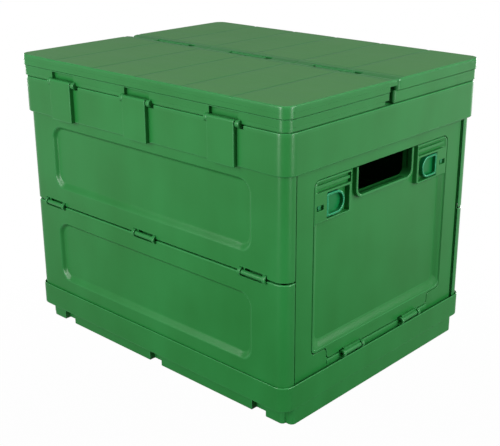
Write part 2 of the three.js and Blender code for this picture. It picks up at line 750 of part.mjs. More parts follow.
function door() {
  const slab = drawn(doorOutline(0), [doorBack, endFace], alongX);
  const onFace = (along, height, depth) => [endFace - depth, along, height];
  const fieldHalf = doorHalf - doorEdge;
  const field = bevelledCutter([-fieldHalf, fieldHalf], [doorFieldBottom, blockBottom + doorBevel],
    doorCorner, doorBevel, doorRecess, onFace);
  const step = block([endFace - doorRecess - overrun, endFace + overrun], [-lidWidth, lidWidth],
    [blockBottom, blockBottom + 2 * doorBevel]);
  const middle = bevelledCutter([-blockInner, blockInner], [doorFieldBottom + doorBevel, channelTop],
    doorCorner, overrun / 2, doorRecess, onFace);
  let body = cut(slab, cut(field, step), middle);

  const lipOutline = handHole(holeLip, holeLip);
  const doorTopRoom = block([endBack - endThickness, endFace], [-blockInner, blockInner],
    [holeBottom - 2 * holeLip, doorTop]);
  const lip = drawn(lipOutline, [endFace - holeDepth, endFace], alongX).intersect(doorTopRoom);
  body = join(body, lip);

  const removed = [drawn(handHole(0, 0), [endBack - endThickness, endFace + overrun], alongX)];
  const added = [];
  for (const place of bothSigns) {
    const rail = (blockTop + channelTop) / 2;
    const channel = block([endFace - channelDepth, endFace + overrun],
      [place * channelInner, place * channelOuter], [blockTop, channelTop]);
    const bar = block([endFace - channelDepth - overrun, endFace - railDrop],
      [place * (channelInner - overrun), place * (channelOuter + overrun)],
      [rail - railHeight / 2, rail + railHeight / 2]);
    removed.push(cut(channel, bar));
    removed.push(block([doorBack + pocketFloor, endFace + overrun],
      [place * pocketInner, place * pocketOuter], [pocketBottom, pocketTop]));
    const middleHeight = (pocketBottom + pocketTop) / 2;
    const boltRoom = boltHeight / 2 + runGap;
    removed.push(block([doorBack + pocketFloor, doorBack + pocketFloor + boltThickness + 2 * runGap],
      [place * (pocketOuter - overrun), place * (doorHalf + overrun)],
      [middleHeight - boltRoom, middleHeight + boltRoom]));
    removed.push(block([doorBack + pocketFloor + boltThickness, endFace + overrun],
      [place * windowInner, place * windowOuter],
      [middleHeight - windowHeight / 2, middleHeight + windowHeight / 2]));
    const hinge = place * doorHingePlace;
    const half = doorHingeWidth / 2 - doorEarWidth - runGap;
    for (const side of bothSigns) {
      const ends = [hinge + side * half, hinge + side * (doorHingeWidth / 2 + runGap)];
      removed.push(barAlongY(doorAxis, doorAxisHeight, doorEarRadius + runGap,
        [Math.min(...ends), Math.max(...ends)]));
    }
    added.push(barAlongY(doorAxis, doorAxisHeight, doorBarrelRadius, [hinge - half, hinge + half]));
    added.push(block([endFace - doorRecess, doorAxis], [hinge - half, hinge + half],
      [doorTabBottom, doorTabBottom + doorFootHeight]));
  }
  body = join(cut(body, removed), added);
  const bores = bothSigns.map((place) => barAlongY(doorAxis, doorAxisHeight, doorPinRadius + seatGap,
    [place * doorHingePlace - doorHingeWidth, place * doorHingePlace + doorHingeWidth], pinSides));
  return cut(body, bores);
}

// A latch: a D-shaped cup in the door's pocket, with a bolt behind the block. side is the end of the
// door that it locks, and the flat of the D faces that way.
function latch(side) {
  const middle = (pocketBottom + pocketTop) / 2;
  const flat = pocketOuter - seatGap;
  const floor = doorBack + pocketFloor + seatGap;
  const shapeOf = (inset) => {
    const radius = pullHeight / 2 - inset;
    const centre = flat - pullLength + pullHeight / 2;
    const shape = new THREE.Shape();
    shape.moveTo(side * (flat - inset), middle - radius);
    shape.lineTo(side * (flat - inset), middle + radius);
    shape.lineTo(side * centre, middle + radius);
    const end = side > 0 ? 1.5 * Math.PI : -Math.PI / 2;
    shape.absarc(side * centre, middle, radius, Math.PI / 2, end, side < 0);
    return shape;
  };
  const cup = cut(
    drawn(shapeOf(0), [floor, endFace], alongX),
    drawn(shapeOf(pullWall), [floor + pullPlate, endFace + overrun], alongX));
  const bolt = block([floor, floor + boltThickness],
    [side * (flat - overrun), side * (doorHalf - seatGap)],
    [middle - boltHeight / 2, middle + boltHeight / 2]);
  return join(cup, bolt);
}

// A long wall of two panels with its pins, built as the front wall. turn is -1 for the rear wall.
function longWall(side, turn) {
  const wall = new THREE.Group();
  wall.add(piece(`${side}_lower_panel`, wallPanel(false), green));
  wall.add(piece(`${side}_upper_panel`, wallPanel(true), green));
  for (const place of threePlaces) {
    wall.add(pin(`${side}_fold_pin_${alongName(turn * place)}`, midPinRadius, midHingeWidth, 'x',
      [place * midHingePlace, -foldAxis, midSeam]));
  }
  for (const place of bothSigns) {
    wall.add(pin(`${side}_base_pin_${alongName(turn * place)}`, wallPinRadius, wallPinLength, 'x',
      [place * wallLugPlace, -wallPivot, lowerPivot]));
    wall.add(pin(`${side}_collar_pin_${alongName(turn * place)}`, wallPinRadius, wallPinLength, 'x',
      [place * wallLugPlace, -wallPivot, midSeam + pivotReach]));
  }
  return wall;
}

// An end wall with its door, latches and pins, built as the right wall. turn is -1 for the left wall.
function endWall(side, turn, pivotHeight) {
  const wall = new THREE.Group();
  wall.add(piece(`${side}_end_frame`, endFrame(pivotHeight), green));
  wall.add(piece(`${side}_door`, door(), green));
  for (const place of bothSigns) {
    const row = acrossName(turn * place);
    wall.add(piece(`${side}_latch_${row}`, latch(place), pullGreen));
    wall.add(pin(`${side}_end_pin_${row}`, endPinRadius, endPinLength, 'y',
      [endPivot, place * endLugPlace, pivotHeight]));
    wall.add(pin(`${side}_door_pin_${row}`, doorPinRadius, doorHingeWidth, 'y',
      [doorAxis, place * doorHingePlace, doorAxisHeight]));
  }
  return wall;
}

function lid() {
  const group = new THREE.Group();
  group.add(piece('lid_front_leaf', lidFrontLeaf(), green));
  group.add(piece('lid_rear_leaf', lidLeaf(1), green));
  for (const place of threePlaces) {
    group.add(pin(`lid_hinge_pin_${alongName(place)}`, lidPinRadius, plateWidth + 2 * lidPinGrip, 'x',
      [place * lidHingePlace, lidAxisY, lidAxisZ]));
    group.add(pin(`lid_seam_pin_${alongName(place)}`, seamPinRadius, seamHingeWidth, 'x',
      [place * lidHingePlace, lidSeamOffset, seamAxisZ]));
  }
  return group;
}

// The crate, with its origin at the middle of its footprint, from hinge plates to rear hinge ears
const crate = new THREE.Group();
const rearReach = Math.max(lidHalf.y, foldAxis + midEarRadius);
crate.position.y = (plateFace - rearReach) / 2;
crate.add(piece('base_tray', baseTray(), green));
crate.add(longWall('front', 1));
const rearWall = longWall('rear', -1);
rearWall.rotation.z = Math.PI;
crate.add(rearWall);
crate.add(piece('top_frame', topFrame(), green));
crate.add(lid());
crate.add(endWall('right', 1, rightPivotHeight));
const leftWall = endWall('left', -1, leftPivotHeight);
leftWall.rotation.z = Math.PI;
crate.add(leftWall);

const model = new THREE.Group();
model.add(crate);
export default model;
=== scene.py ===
"""Looks of a collapsible storage crate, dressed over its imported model.

Each sub-assembly is a class that builds its moulded pieces as numpy surfaces and dresses them. Sizes are
in millimetres, heights are above the surface that the crate stands on, and places across the crate count
from its middle.
"""

import json
import logging
import math
from dataclasses import dataclass, field
from enum import Enum

import bmesh
import bpy
import numpy as np
from mathutils import Matrix, Vector
from mathutils.geometry import tessellate_polygon

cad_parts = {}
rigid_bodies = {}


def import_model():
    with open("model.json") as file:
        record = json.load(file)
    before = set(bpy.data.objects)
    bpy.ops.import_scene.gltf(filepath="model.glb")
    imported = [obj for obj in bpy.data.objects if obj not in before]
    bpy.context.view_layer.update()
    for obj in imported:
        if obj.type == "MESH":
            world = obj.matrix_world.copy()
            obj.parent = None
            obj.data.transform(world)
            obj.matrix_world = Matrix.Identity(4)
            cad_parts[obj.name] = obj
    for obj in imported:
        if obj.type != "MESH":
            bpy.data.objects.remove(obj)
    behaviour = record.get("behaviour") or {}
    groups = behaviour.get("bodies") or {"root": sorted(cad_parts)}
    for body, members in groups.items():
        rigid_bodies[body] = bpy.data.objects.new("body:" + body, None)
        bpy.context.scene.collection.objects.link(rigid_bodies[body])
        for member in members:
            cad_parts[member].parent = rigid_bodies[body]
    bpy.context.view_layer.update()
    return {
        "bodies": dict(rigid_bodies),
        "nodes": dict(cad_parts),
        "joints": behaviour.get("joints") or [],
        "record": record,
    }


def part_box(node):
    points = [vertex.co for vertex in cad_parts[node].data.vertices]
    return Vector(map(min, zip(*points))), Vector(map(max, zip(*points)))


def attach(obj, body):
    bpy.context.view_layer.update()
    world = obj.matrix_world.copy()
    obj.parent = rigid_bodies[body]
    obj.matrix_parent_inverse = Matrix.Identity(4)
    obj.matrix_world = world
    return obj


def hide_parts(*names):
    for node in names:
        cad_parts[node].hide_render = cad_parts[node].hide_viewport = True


LOG = logging.getLogger("crate")
EDGE_SHARE = "edge_share"
MM = 0.001

CORNER_STEPS = 8
FILLET_STEPS = 3
ROUND_SIDES = 28
SMOOTH_ANGLE = math.radians(38)
EDGE_RADIUS = 1.2
STRAIGHT_SHARE = 0.45
EDGE_SHARES = np.array([0, 0.15, 0.5, 1])


class Turn(Enum):
    """Whether a wall stands as it is built or is turned half round about the upright axis."""

    AS_BUILT = 1
    HALF_ROUND = -1


# Outlines in two dimensions


def rounded_polygon(corners: list, radii: list, steps: int = CORNER_STEPS) -> np.ndarray:
    """An outline whose corners are arcs.

    Each arc touches both edges of its corner: its centre lies on the corner's bisector, at the radius
    over the sine of half the corner's angle.

    Args:
        corners: the corners (a, b), anticlockwise.
        radii: the arc's radius at each corner.
        steps: how many edges an arc has.

    Returns:
        The points as an array of shape (corners * (steps + 1), 2).
    """
    at = np.array(corners, float)
    radius = np.array(radii, float)[:, None]
    back = np.roll(at, 1, axis=0) - at
    ahead = np.roll(at, -1, axis=0) - at
    back /= np.linalg.norm(back, axis=1, keepdims=True)
    ahead /= np.linalg.norm(ahead, axis=1, keepdims=True)
    half = np.arccos(np.clip((back * ahead).sum(1), -1, 1))[:, None] / 2
    bisector = back + ahead
    bisector /= np.linalg.norm(bisector, axis=1, keepdims=True)
    centre = at + bisector * radius / np.sin(half)
    start = at + back * radius / np.tan(half) - centre
    turning = np.sign(ahead[:, 0] * back[:, 1] - ahead[:, 1] * back[:, 0])[:, None]
    sweep = turning * (math.pi - 2 * half) * np.linspace(0, 1, steps + 1)[None, :]
    x = start[:, :1] * np.cos(sweep) - start[:, 1:] * np.sin(sweep) + centre[:, :1]
    y = start[:, :1] * np.sin(sweep) + start[:, 1:] * np.cos(sweep) + centre[:, 1:]
    return np.stack([x, y], axis=-1).reshape(-1, 2)


def rounded_box(low: tuple, high: tuple, radius: float | list, steps: int = CORNER_STEPS) -> np.ndarray:
    """A rounded rectangle between two corners, with one radius or one for each corner.

    Args:
        low: the corner (a, b) with the lowest values.
        high: the corner with the highest.
        radius: the arc's radius, or four, anticlockwise from low.
        steps: how many edges an arc has.

    Returns:
        The outline's points, anticlockwise.
    """
    radii = radius if isinstance(radius, list) else [radius] * 4
    corners = [low, (high[0], low[1]), high, (low[0], high[1])]
    return rounded_polygon(corners, radii, steps)


def offset(loop: np.ndarray, inward: float) -> np.ndarray:
    """A closed anticlockwise outline moved inward, each point along the mitre of its two edges.

    Args:
        loop: the outline's points.
        inward: how far in; less than zero grows the outline.

    Returns:
        The moved points, in the same order.
    """
    edge = np.roll(loop, -1, axis=0) - loop
    edge /= np.linalg.norm(edge, axis=1, keepdims=True)
    normal = np.stack([-edge[:, 1], edge[:, 0]], axis=1)
    before = np.roll(normal, 1, axis=0)
    mitre = (normal + before) / (1 + (normal * before).sum(1, keepdims=True))
    return loop + mitre * inward


def fillet(edge: float, steps: int = FILLET_STEPS) -> list:
    """A quarter round as pairs of how far in from the side and how deep below the face.

    Args:
        edge: the round's radius.
        steps: how many flats stand for it.

    Returns:
        The pairs, from the face to the side.
    """
    turn = np.linspace(0, math.pi / 2, steps + 1)
    return list(zip(edge * (1 - np.sin(turn)), edge * (1 - np.cos(turn))))


def soft_step(distance: np.ndarray, width: float) -> np.ndarray:
    """Rises from 0 to 1 over a width, as a slope whose foot and head are rounded.

    The slope is a mix of a straight one and a cubic smooth step.
    """
    share = np.clip(distance / width, 0, 1)
    smooth = share * share * (3 - 2 * share)
    return STRAIGHT_SHARE * share + (1 - STRAIGHT_SHARE) * smooth


def round_over(distance: np.ndarray, radius: float) -> np.ndarray:
    """How far a rounded edge falls below its face, at a distance in from the side."""
    inside = radius - np.clip(distance, 0, radius)
    return radius - np.sqrt(np.maximum(radius**2 - inside**2, 0))


def box_distance(a: np.ndarray, b: np.ndarray, low: tuple, high: tuple, radius: float) -> np.ndarray:
    """Signed distance to a rounded rectangle, more than zero inside it.

    Args:
        a: first coordinate of the points.
        b: second coordinate.
        low: the rectangle's corner with the lowest values.
        high: the corner with the highest.
        radius: the radius of its corners.

    Returns:
        The distances.
    """
    out_a = np.abs(a - (low[0] + high[0]) / 2) - (high[0] - low[0]) / 2 + radius
    out_b = np.abs(b - (low[1] + high[1]) / 2) - (high[1] - low[1]) / 2 + radius
    outside = np.hypot(np.maximum(out_a, 0), np.maximum(out_b, 0))
    return radius - outside - np.minimum(np.maximum(out_a, out_b), 0)


def three(place: float) -> tuple:
    """The middle and a place on either side of it."""
    return -place, 0, place


def line_places(*stretches: np.ndarray, least: float = 0.05) -> np.ndarray:
    """Grid lines from several stretches, sorted, with those left out that nearly meet another."""
    lines = np.unique(np.round(np.concatenate([np.atleast_1d(s) for s in stretches]), 3))
    return lines[np.concatenate([[True], np.diff(lines) > least])]


# Solids


class Solids:
    """Closed solids gathered into one mesh, each without shared points, in millimetres."""

    def __init__(self) -> None:
        """Starts with nothing."""
        self.points: list = []
        self.faces: list = []
        self.count = 0

    def keep(self, points: np.ndarray, faces: list) -> None:
        """Adds points and the faces that number them from zero."""
        flat = points.reshape(-1, 3)
        self.points.append(flat)
        self.faces.extend([[int(i) + self.count for i in face] for face in faces])
        self.count += len(flat)

    def loft(self, loops: np.ndarray, closed: bool = False) -> None:
        """A skin over a row of closed loops, with flat ends unless the row closes on itself.

        Args:
            loops: the loops' points, of shape (loops, points, 3).
            closed: whether the last loop joins the first.
        """
        rows, columns = loops.shape[:2]
        faces = grid_faces(rows, columns, closed, True).tolist()
        if not closed:
            faces.append(list(range(columns))[::-1])
            faces.append(list(range((rows - 1) * columns, rows * columns)))
        self.keep(loops, faces)

    def plate(self, outer: np.ndarray, thickness: float, place, edge: float = 0.6, back_edge: float = 0,
              holes: tuple = (), blinds: tuple = ()) -> None:
        """A flat plate with rounded edges, holes right through it and hollows that end in it.

        Args:
            outer: its outline, anticlockwise.
            thickness: from its face to its back.
            place: turns arrays of (a, b, depth below the face) into points in space.
            edge: radius of the round at its face.
            back_edge: radius of the round at its back.
            holes: outlines of holes through it, anticlockwise.
            blinds: pairs of an outline and a depth, for the hollows.
        """
        stacks = [self._stack(outer, 1, edge, thickness, back_edge)]
        stacks += [self._stack(hole, -1, edge, thickness, back_edge) for hole in holes]
        through = len(stacks)
        stacks += [self._stack(loop, -1, edge, depth, 0) for loop, depth in blinds]
        self.stacked(stacks, through, place)

    @staticmethod
    def _stack(loop: np.ndarray, sense: int, edge: float, depth: float, back_edge: float) -> np.ndarray:
        """The loops down the side of an outline, each point with its depth. sense is -1 for a hole."""
        levels = fillet(edge) if edge else [(0, 0)]
        foot = fillet(back_edge)[::-1] if back_edge else [(0, 0)]
        levels = [*levels, *((inset, depth - drop) for inset, drop in foot)]
        return np.stack([np.column_stack([offset(loop, sense * inset), np.full(len(loop), down)])
                         for inset, down in levels])

    def stacked(self, stacks: list, through: int, place) -> None:
        """A flat-faced solid from the stacks of loops of its outline, holes and hollows.

        Args:
            stacks: arrays of (a, b, depth), of shape (levels, points, 3), the outline's first.
            through: how many of them reach the back.
            place: turns arrays of (a, b, depth) into points in space.
        """
        points, faces, fronts, backs, start = [], [], [], [], 0
        for number, stack in enumerate(stacks):
            levels, around = stack.shape[:2]
            points.append(stack.reshape(-1, 3))
            faces.extend((grid_faces(levels, around, False, True) + start).tolist())
            last = start + (levels - 1) * around
            fronts.append(np.arange(start, start + around))
            if number < through:
                backs.append(np.arange(last, last + around))
            else:
                faces.append(list(range(last, last + around)))
            start += levels * around
        flat = np.concatenate(points)
        for rims in (fronts, backs):
            names = np.concatenate(rims)
            loops = [[Vector((*flat[i, :2], 0)) for i in rim] for rim in rims]
            faces.extend([[int(names[i]) for i in face] for face in tessellate_polygon(loops)])
        self.keep(np.stack(place(flat[:, 0], flat[:, 1], flat[:, 2]), axis=-1), faces)

    def block(self, low: tuple, high: tuple, edge: float = 0.5, along: str = "z") -> None:
        """A block with rounded corners and ends.

        Args:
            low: its corner with the lowest values.
            high: its corner with the highest.
            edge: the radius of its rounds.
            along: the axis that its corner rounds run along.
        """
        a, b, c = {"x": (1, 2, 0), "y": (2, 0, 1), "z": (0, 1, 2)}[along]
        outline = rounded_box((low[a], low[b]), (high[a], high[b]), edge, FILLET_STEPS)

        def place(across, up, depth):
            """Puts the block's outline across its axis."""
            spots = {a: across, b: up, c: high[c] - depth}
            return [spots[0], spots[1], spots[2]]

        self.plate(outline, high[c] - low[c], place, edge, edge)

    def bar(self, ends: tuple, middle: tuple, radius: float, edge: float, along: str = "x") -> None:
        """A round bar with rounded ends: circles that narrow towards each end along a quarter round.

        Args:
            ends: where it starts and ends along its axis.
            middle: the other two coordinates of its axis, in the order of x, y, z.
            radius: its radius.
            edge: how far the round of its ends comes in.
            along: the axis that it lies along.
        """
        steps = fillet(edge, CORNER_STEPS // 2)
        stations = [(ends[0] + down, radius - inset) for inset, down in steps]
        stations += [(ends[1] - down, radius - inset) for inset, down in steps[::-1]]
        turn = np.linspace(0, 2 * math.pi, ROUND_SIDES, endpoint=False)
        where = np.array(stations)
        first = middle[0] + where[:, 1:] * np.cos(turn)
        second = middle[1] + where[:, 1:] * np.sin(turn)
        line = np.broadcast_to(where[:, :1], first.shape)
        order = {"x": (line, first, second), "y": (first, line, second), "z": (first, second, line)}
        self.loft(np.stack(order[along], axis=-1))

    def sheet(self, front: np.ndarray, back: np.ndarray) -> None:
        """A wall between two grids of the same shape, closed round its four sides.

        Args:
            front: its outer points, of shape (rows, columns, 3).
            back: its inner points.
        """
        rows, columns = front.shape[:2]
        size = rows * columns
        near = grid_faces(rows, columns, False, False)
        far = near[:, ::-1] + size
        cell = np.arange(size).reshape(rows, columns)
        rim = np.concatenate([cell[0, :-1], cell[:-1, -1], cell[-1, :0:-1], cell[:0:-1, 0]])
        after = np.roll(rim, -1)
        sides = np.stack([rim, after, after + size, rim + size], axis=1)
        self.keep(np.concatenate([front.reshape(-1, 3), back.reshape(-1, 3)]),
                  [*near.tolist(), *far.tolist(), *sides.tolist()])


def grid_faces(rows: int, columns: int, wrap_rows: bool, wrap_columns: bool) -> np.ndarray:
    """The four-sided faces of a grid of points.

    Args:
        rows: how many rows of points it has.
        columns: how many points a row has.
        wrap_rows: whether the last row joins the first.
        wrap_columns: whether each row closes on itself.

    Returns:
        Point numbers, of shape (faces, 4).
    """
    cell = np.arange(rows * columns).reshape(rows, columns)
    if wrap_rows:
        cell = np.vstack([cell, cell[:1]])
    if wrap_columns:
        cell = np.hstack([cell, cell[:, :1]])
    return np.stack([cell[:-1, :-1], cell[:-1, 1:], cell[1:, 1:], cell[1:, :-1]], axis=-1).reshape(-1, 4)


def swept(path: np.ndarray, profile: np.ndarray, closed: bool = False) -> np.ndarray:
    """A cross-section carried along a level path.

    Each loop is the section at one point of the path: out along the path's mitred right-hand normal by
    the section's first value, and at the height of its second.

    Args:
        path: the path's points (x, y).
        profile: the section's points (out, z).
        closed: whether the path closes on itself.

    Returns:
        The loops, of shape (path points, section points, 3).
    """
    if closed:
        step = np.roll(path, -1, axis=0) - path
        before = np.roll(step, 1, axis=0)
    else:
        step = np.diff(path, axis=0)
        before = np.vstack([step[:1], step])
        step = np.vstack([step, step[-1:]])
    right = np.stack([step[:, 1], -step[:, 0]], axis=1) / np.linalg.norm(step, axis=1, keepdims=True)
    left_of = np.stack([before[:, 1], -before[:, 0]], axis=1) / np.linalg.norm(before, axis=1, keepdims=True)
    mitre = (right + left_of) / (1 + (right * left_of).sum(1, keepdims=True))
    plan = path[:, None, :] + mitre[:, None, :] * profile[None, :, :1]
    height = np.broadcast_to(profile[None, :, 1:], (*plan.shape[:2], 1))
    return np.concatenate([plan, height], axis=-1)


# Finishes


def linear(colour: str) -> tuple:
    """A hex sRGB colour as linear values with full opacity."""
    shares = np.array([int(colour[i:i + 2], 16) / 255 for i in (1, 3, 5)])
    bright = ((shares + 0.055) / 1.055) ** 2.4
    return (*np.where(shares <= 0.04045, shares / 12.92, bright).tolist(), 1.0)


def add_node(tree, kind: str, settings: dict | None = None, links: dict | None = None):
    """Adds one shader node.

    Args:
        tree: the node tree.
        kind: Blender's name of the node's type.
        settings: properties of the node, and values of its inputs by name or number.
        links: for each input, the output that feeds it.

    Returns:
        The node.
    """
    made = tree.nodes.new(kind)
    for name, value in (settings or {}).items():
        if isinstance(name, str) and hasattr(made, name):
            setattr(made, name, value)
        else:
            made.inputs[name].default_value = value
    for name, source in (links or {}).items():
        tree.links.new(source, made.inputs[name])
    return made


def bare_material(name: str) -> tuple:
    """A new material without nodes, and its node tree."""
    made = bpy.data.materials.new(name)
    made.use_nodes = True
    made.node_tree.nodes.clear()
    return made, made.node_tree


def noise(tree, where, size: float, detail: float = 2.0):
    """Noise from 0 to 1 whose marks are about a size in millimetres."""
    return add_node(tree, "ShaderNodeTexNoise", {"Scale": 1 / (size * MM), "Detail": detail},
                    {"Vector": where}).outputs["Fac"]


def banded(tree, value, middle: float, spread: float):
    """A value from 0 to 1 mapped to a band round a middle."""
    return add_node(tree, "ShaderNodeMapRange", {"To Min": middle - spread, "To Max": middle + spread},
                    {"Value": value}).outputs["Result"]


def combined(tree, operation: str, first, second):
    """Two values put together by one of Blender's sums."""
    return add_node(tree, "ShaderNodeMath", {"operation": operation}, {0: first, 1: second}).outputs[0]


@dataclass(frozen=True)
class MouldedPolypropylene:
    """Injection-moulded polypropylene: a waxy satin skin with a fine spark-eroded grain.

    The grain breaks up the gloss, and slow flow of the melt leaves broad patches that differ a little
    in colour and gloss.
    """

    slot: str
    colour: str
    pale: str
    # Paler colour of the rounded edges: a painted highlight, partly edge wear
    edge_wear_and_highlight: str
    roughness: float = 0.34
    ior: float = 1.49
    gloss_share: float = 0.4
    grain: float = 1.1
    grain_height: float = 0.02
    patch: float = 70.0
    ripple: float = 26.0
    ripple_height: float = 0.05
    edge_polish: float = 0.12
    # Colour of the painted reflection on the deck's upper face, paler and browner than the body
    deck: str = "#408340"
    deck_level: float = 348.4
    deck_band: tuple = (0.35, 0.1)
    deck_roughness: float = 0.46
    gloss_spread: float = 0.05
    wear_and_sheen_range: tuple = (0.25, 0.6)
    wear_and_sheen_least: float = 0.62
    streak: tuple = (45.0, 45.0, 200.0)
    scuff_and_sheen_streak: tuple = (110.0, 6.0, 6.0)

    def material(self):
        """Builds the material.

        Returns:
            The Blender material.
        """
        made, tree = bare_material(self.slot)
        where = add_node(tree, "ShaderNodeTexCoord").outputs["Object"]
        patch = noise(tree, where, self.patch)
        blend = combined(tree, "ADD", patch, self.stretched(tree, where, self.streak))
        blend = add_node(tree, "ShaderNodeMapRange", {"From Min": 0.7, "From Max": 1.3},
                         {"Value": blend}).outputs["Result"]
        flow = add_node(tree, "ShaderNodeMix", {"data_type": "RGBA", 6: linear(self.colour),
                                                7: linear(self.pale)}, {0: blend}).outputs[2]
        # Painted reflection: the deck's upper face is painted paler and browner, in streaks, and made duller;
        # its grooves are left out, so they read darker, as painted shade
        height = add_node(tree, "ShaderNodeSeparateXYZ", {}, {0: where}).outputs["Z"]
        low, high = [(self.deck_level - drop) * MM for drop in self.deck_band]
        level = add_node(tree, "ShaderNodeMapRange", {"From Min": low, "From Max": high},
                         {"Value": height}).outputs["Result"]
        scuff_and_sheen_streaks = self.stretched(tree, where, self.scuff_and_sheen_streak)
        wear_and_sheen = add_node(tree, "ShaderNodeMapRange",
                        {"From Min": self.wear_and_sheen_range[0], "From Max": self.wear_and_sheen_range[1],
                         "To Min": self.wear_and_sheen_least}, {"Value": scuff_and_sheen_streaks}).outputs["Result"]
        wear_and_sheen = combined(tree, "MULTIPLY", level, wear_and_sheen)
        flow = add_node(tree, "ShaderNodeMix", {"data_type": "RGBA", 7: linear(self.deck)},
                        {0: wear_and_sheen, 6: flow}).outputs[2]
        # Rounded edges are painted paler, a painted highlight that partly stands for polish from handling,
        # and are a little glossier
        edge = add_node(tree, "ShaderNodeAttribute", {"attribute_name": EDGE_SHARE}).outputs["Fac"]
        colour = add_node(tree, "ShaderNodeMix", {"data_type": "RGBA", 7: linear(self.edge_wear_and_highlight)},
                          {0: edge, 6: flow}).outputs[2]
        gloss = banded(tree, patch, self.roughness, self.gloss_spread)
        gloss = add_node(tree, "ShaderNodeMath", {"operation": "MULTIPLY_ADD", 1: -self.edge_polish},
                         {0: edge, 2: gloss}).outputs[0]
        gloss = add_node(tree, "ShaderNodeMath",
                         {"operation": "MULTIPLY_ADD", 1: self.deck_roughness - self.roughness},
                         {0: wear_and_sheen, 2: gloss}).outputs[0]
        # The real grain is about 0.1 mm, too fine to show, so it is drawn ten times coarser
        grain = noise(tree, where, self.grain, 3.0)
        ripple = noise(tree, where, self.ripple, 1.0)
        waved = add_node(tree, "ShaderNodeBump", {"Strength": 1.0, "Distance": self.ripple_height * MM},
                         {"Height": ripple}).outputs["Normal"]
        bumped = add_node(tree, "ShaderNodeBump", {"Strength": 1.0, "Distance": self.grain_height * MM},
                          {"Height": grain, "Normal": waved}).outputs["Normal"]
        shader = add_node(tree, "ShaderNodeBsdfPrincipled",
                          {"IOR": self.ior, "Specular IOR Level": self.gloss_share},
                          {"Base Color": colour, "Roughness": gloss, "Normal": bumped})
        add_node(tree, "ShaderNodeOutputMaterial", {}, {"Surface": shader.outputs["BSDF"]})
        return made

    @staticmethod
    def stretched(tree, where, lengths: tuple):
        """Noise drawn out along one axis, by the lengths of its marks along x, y and z in millimetres."""
        turned = add_node(tree, "ShaderNodeMapping", {"Scale": [1 / (length * MM) for length in lengths]},
                          {"Vector": where}).outputs["Vector"]
        return add_node(tree, "ShaderNodeTexNoise", {"Scale": 1.0, "Detail": 2.0},
                        {"Vector": turned}).outputs["Fac"]


@dataclass(frozen=True)
class DrawnSteel:
    """Bright drawn steel wire: fine lines along the wire and a soft metallic gloss."""

    slot: str = "hinge_pin_steel"
    colour: str = "#a9abad"
    roughness: float = 0.3
    line: float = 0.6
    gloss_spread: float = 0.08

    def material(self):
        """Builds the material.

        Returns:
            The Blender material.
        """
        made, tree = bare_material(self.slot)
        where = add_node(tree, "ShaderNodeTexCoord").outputs["Object"]
        gloss = banded(tree, noise(tree, where, self.line), self.roughness, self.gloss_spread)
        shader = add_node(tree, "ShaderNodeBsdfPrincipled",
                          {"Base Color": linear(self.colour), "Metallic": 1.0}, {"Roughness": gloss})
        add_node(tree, "ShaderNodeOutputMaterial", {}, {"Surface": shader.outputs["BSDF"]})
        return made


@dataclass
class Finishes:
    """The crate's three finishes, with their materials."""

    crate: MouldedPolypropylene = MouldedPolypropylene("crate_plastic", "#207230", "#257c39", "#36894a")
    latch: MouldedPolypropylene = MouldedPolypropylene("latch_plastic", "#006c33", "#047439", "#30a070")
    pin: DrawnSteel = DrawnSteel()
    materials: dict = field(default_factory=dict)

    def __post_init__(self) -> None:
        """Builds the materials once."""
        for finish in (self.crate, self.latch, self.pin):
            self.materials[finish.slot] = finish.material()


# Making pieces


def mark_edges(mesh) -> None:
    """Stores on every face how far it belongs to a rounded outer edge, from 0 to 1.

    A face's bend is the sum, over its sides, of the side's length by the angle to its neighbour, over
    twice the face's area. A round of radius r gives 1 / r, and a flat gives nearly nothing. Sides where
    the neighbour rises count as less than zero, so hollows stay unmarked.

    Args:
        mesh: the mesh to mark, with every edge between two faces.
    """
    faces, sides = len(mesh.polygons), len(mesh.loops)
    area, normal, centre = np.empty(faces), np.empty(3 * faces), np.empty(3 * faces)
    mesh.polygons.foreach_get("area", area)
    mesh.polygons.foreach_get("normal", normal)
    mesh.polygons.foreach_get("center", centre)
    counts, edge_of = np.empty(faces, int), np.empty(sides, int)
    mesh.polygons.foreach_get("loop_total", counts)
    mesh.loops.foreach_get("edge_index", edge_of)
    ends, points = np.empty(2 * len(mesh.edges), int), np.empty(3 * len(mesh.vertices))
    mesh.edges.foreach_get("vertices", ends)
    mesh.vertices.foreach_get("co", points)
    normal, centre, spots = normal.reshape(-1, 3), centre.reshape(-1, 3), points.reshape(-1, 3)
    length = np.linalg.norm(spots[ends[::2]] - spots[ends[1::2]], axis=1)
    face_of = np.repeat(np.arange(faces), counts)
    pair = face_of[np.argsort(edge_of, kind="stable")].reshape(-1, 2)
    angle = np.arccos(np.clip((normal[pair[:, 0]] * normal[pair[:, 1]]).sum(1), -1, 1))
    rises = ((centre[pair[:, 1]] - centre[pair[:, 0]]) * normal[pair[:, 0]]).sum(1) > 0
    bend = np.where(rises, -angle, np.minimum(angle, SMOOTH_ANGLE)) * length
    total = np.bincount(pair.ravel(), weights=np.repeat(bend, 2), minlength=faces)
    share = np.clip(total / (2 * area / MM) * EDGE_RADIUS, 0, 1)
    mesh.attributes.new(EDGE_SHARE, "FLOAT", "FACE").data.foreach_set("value", share)


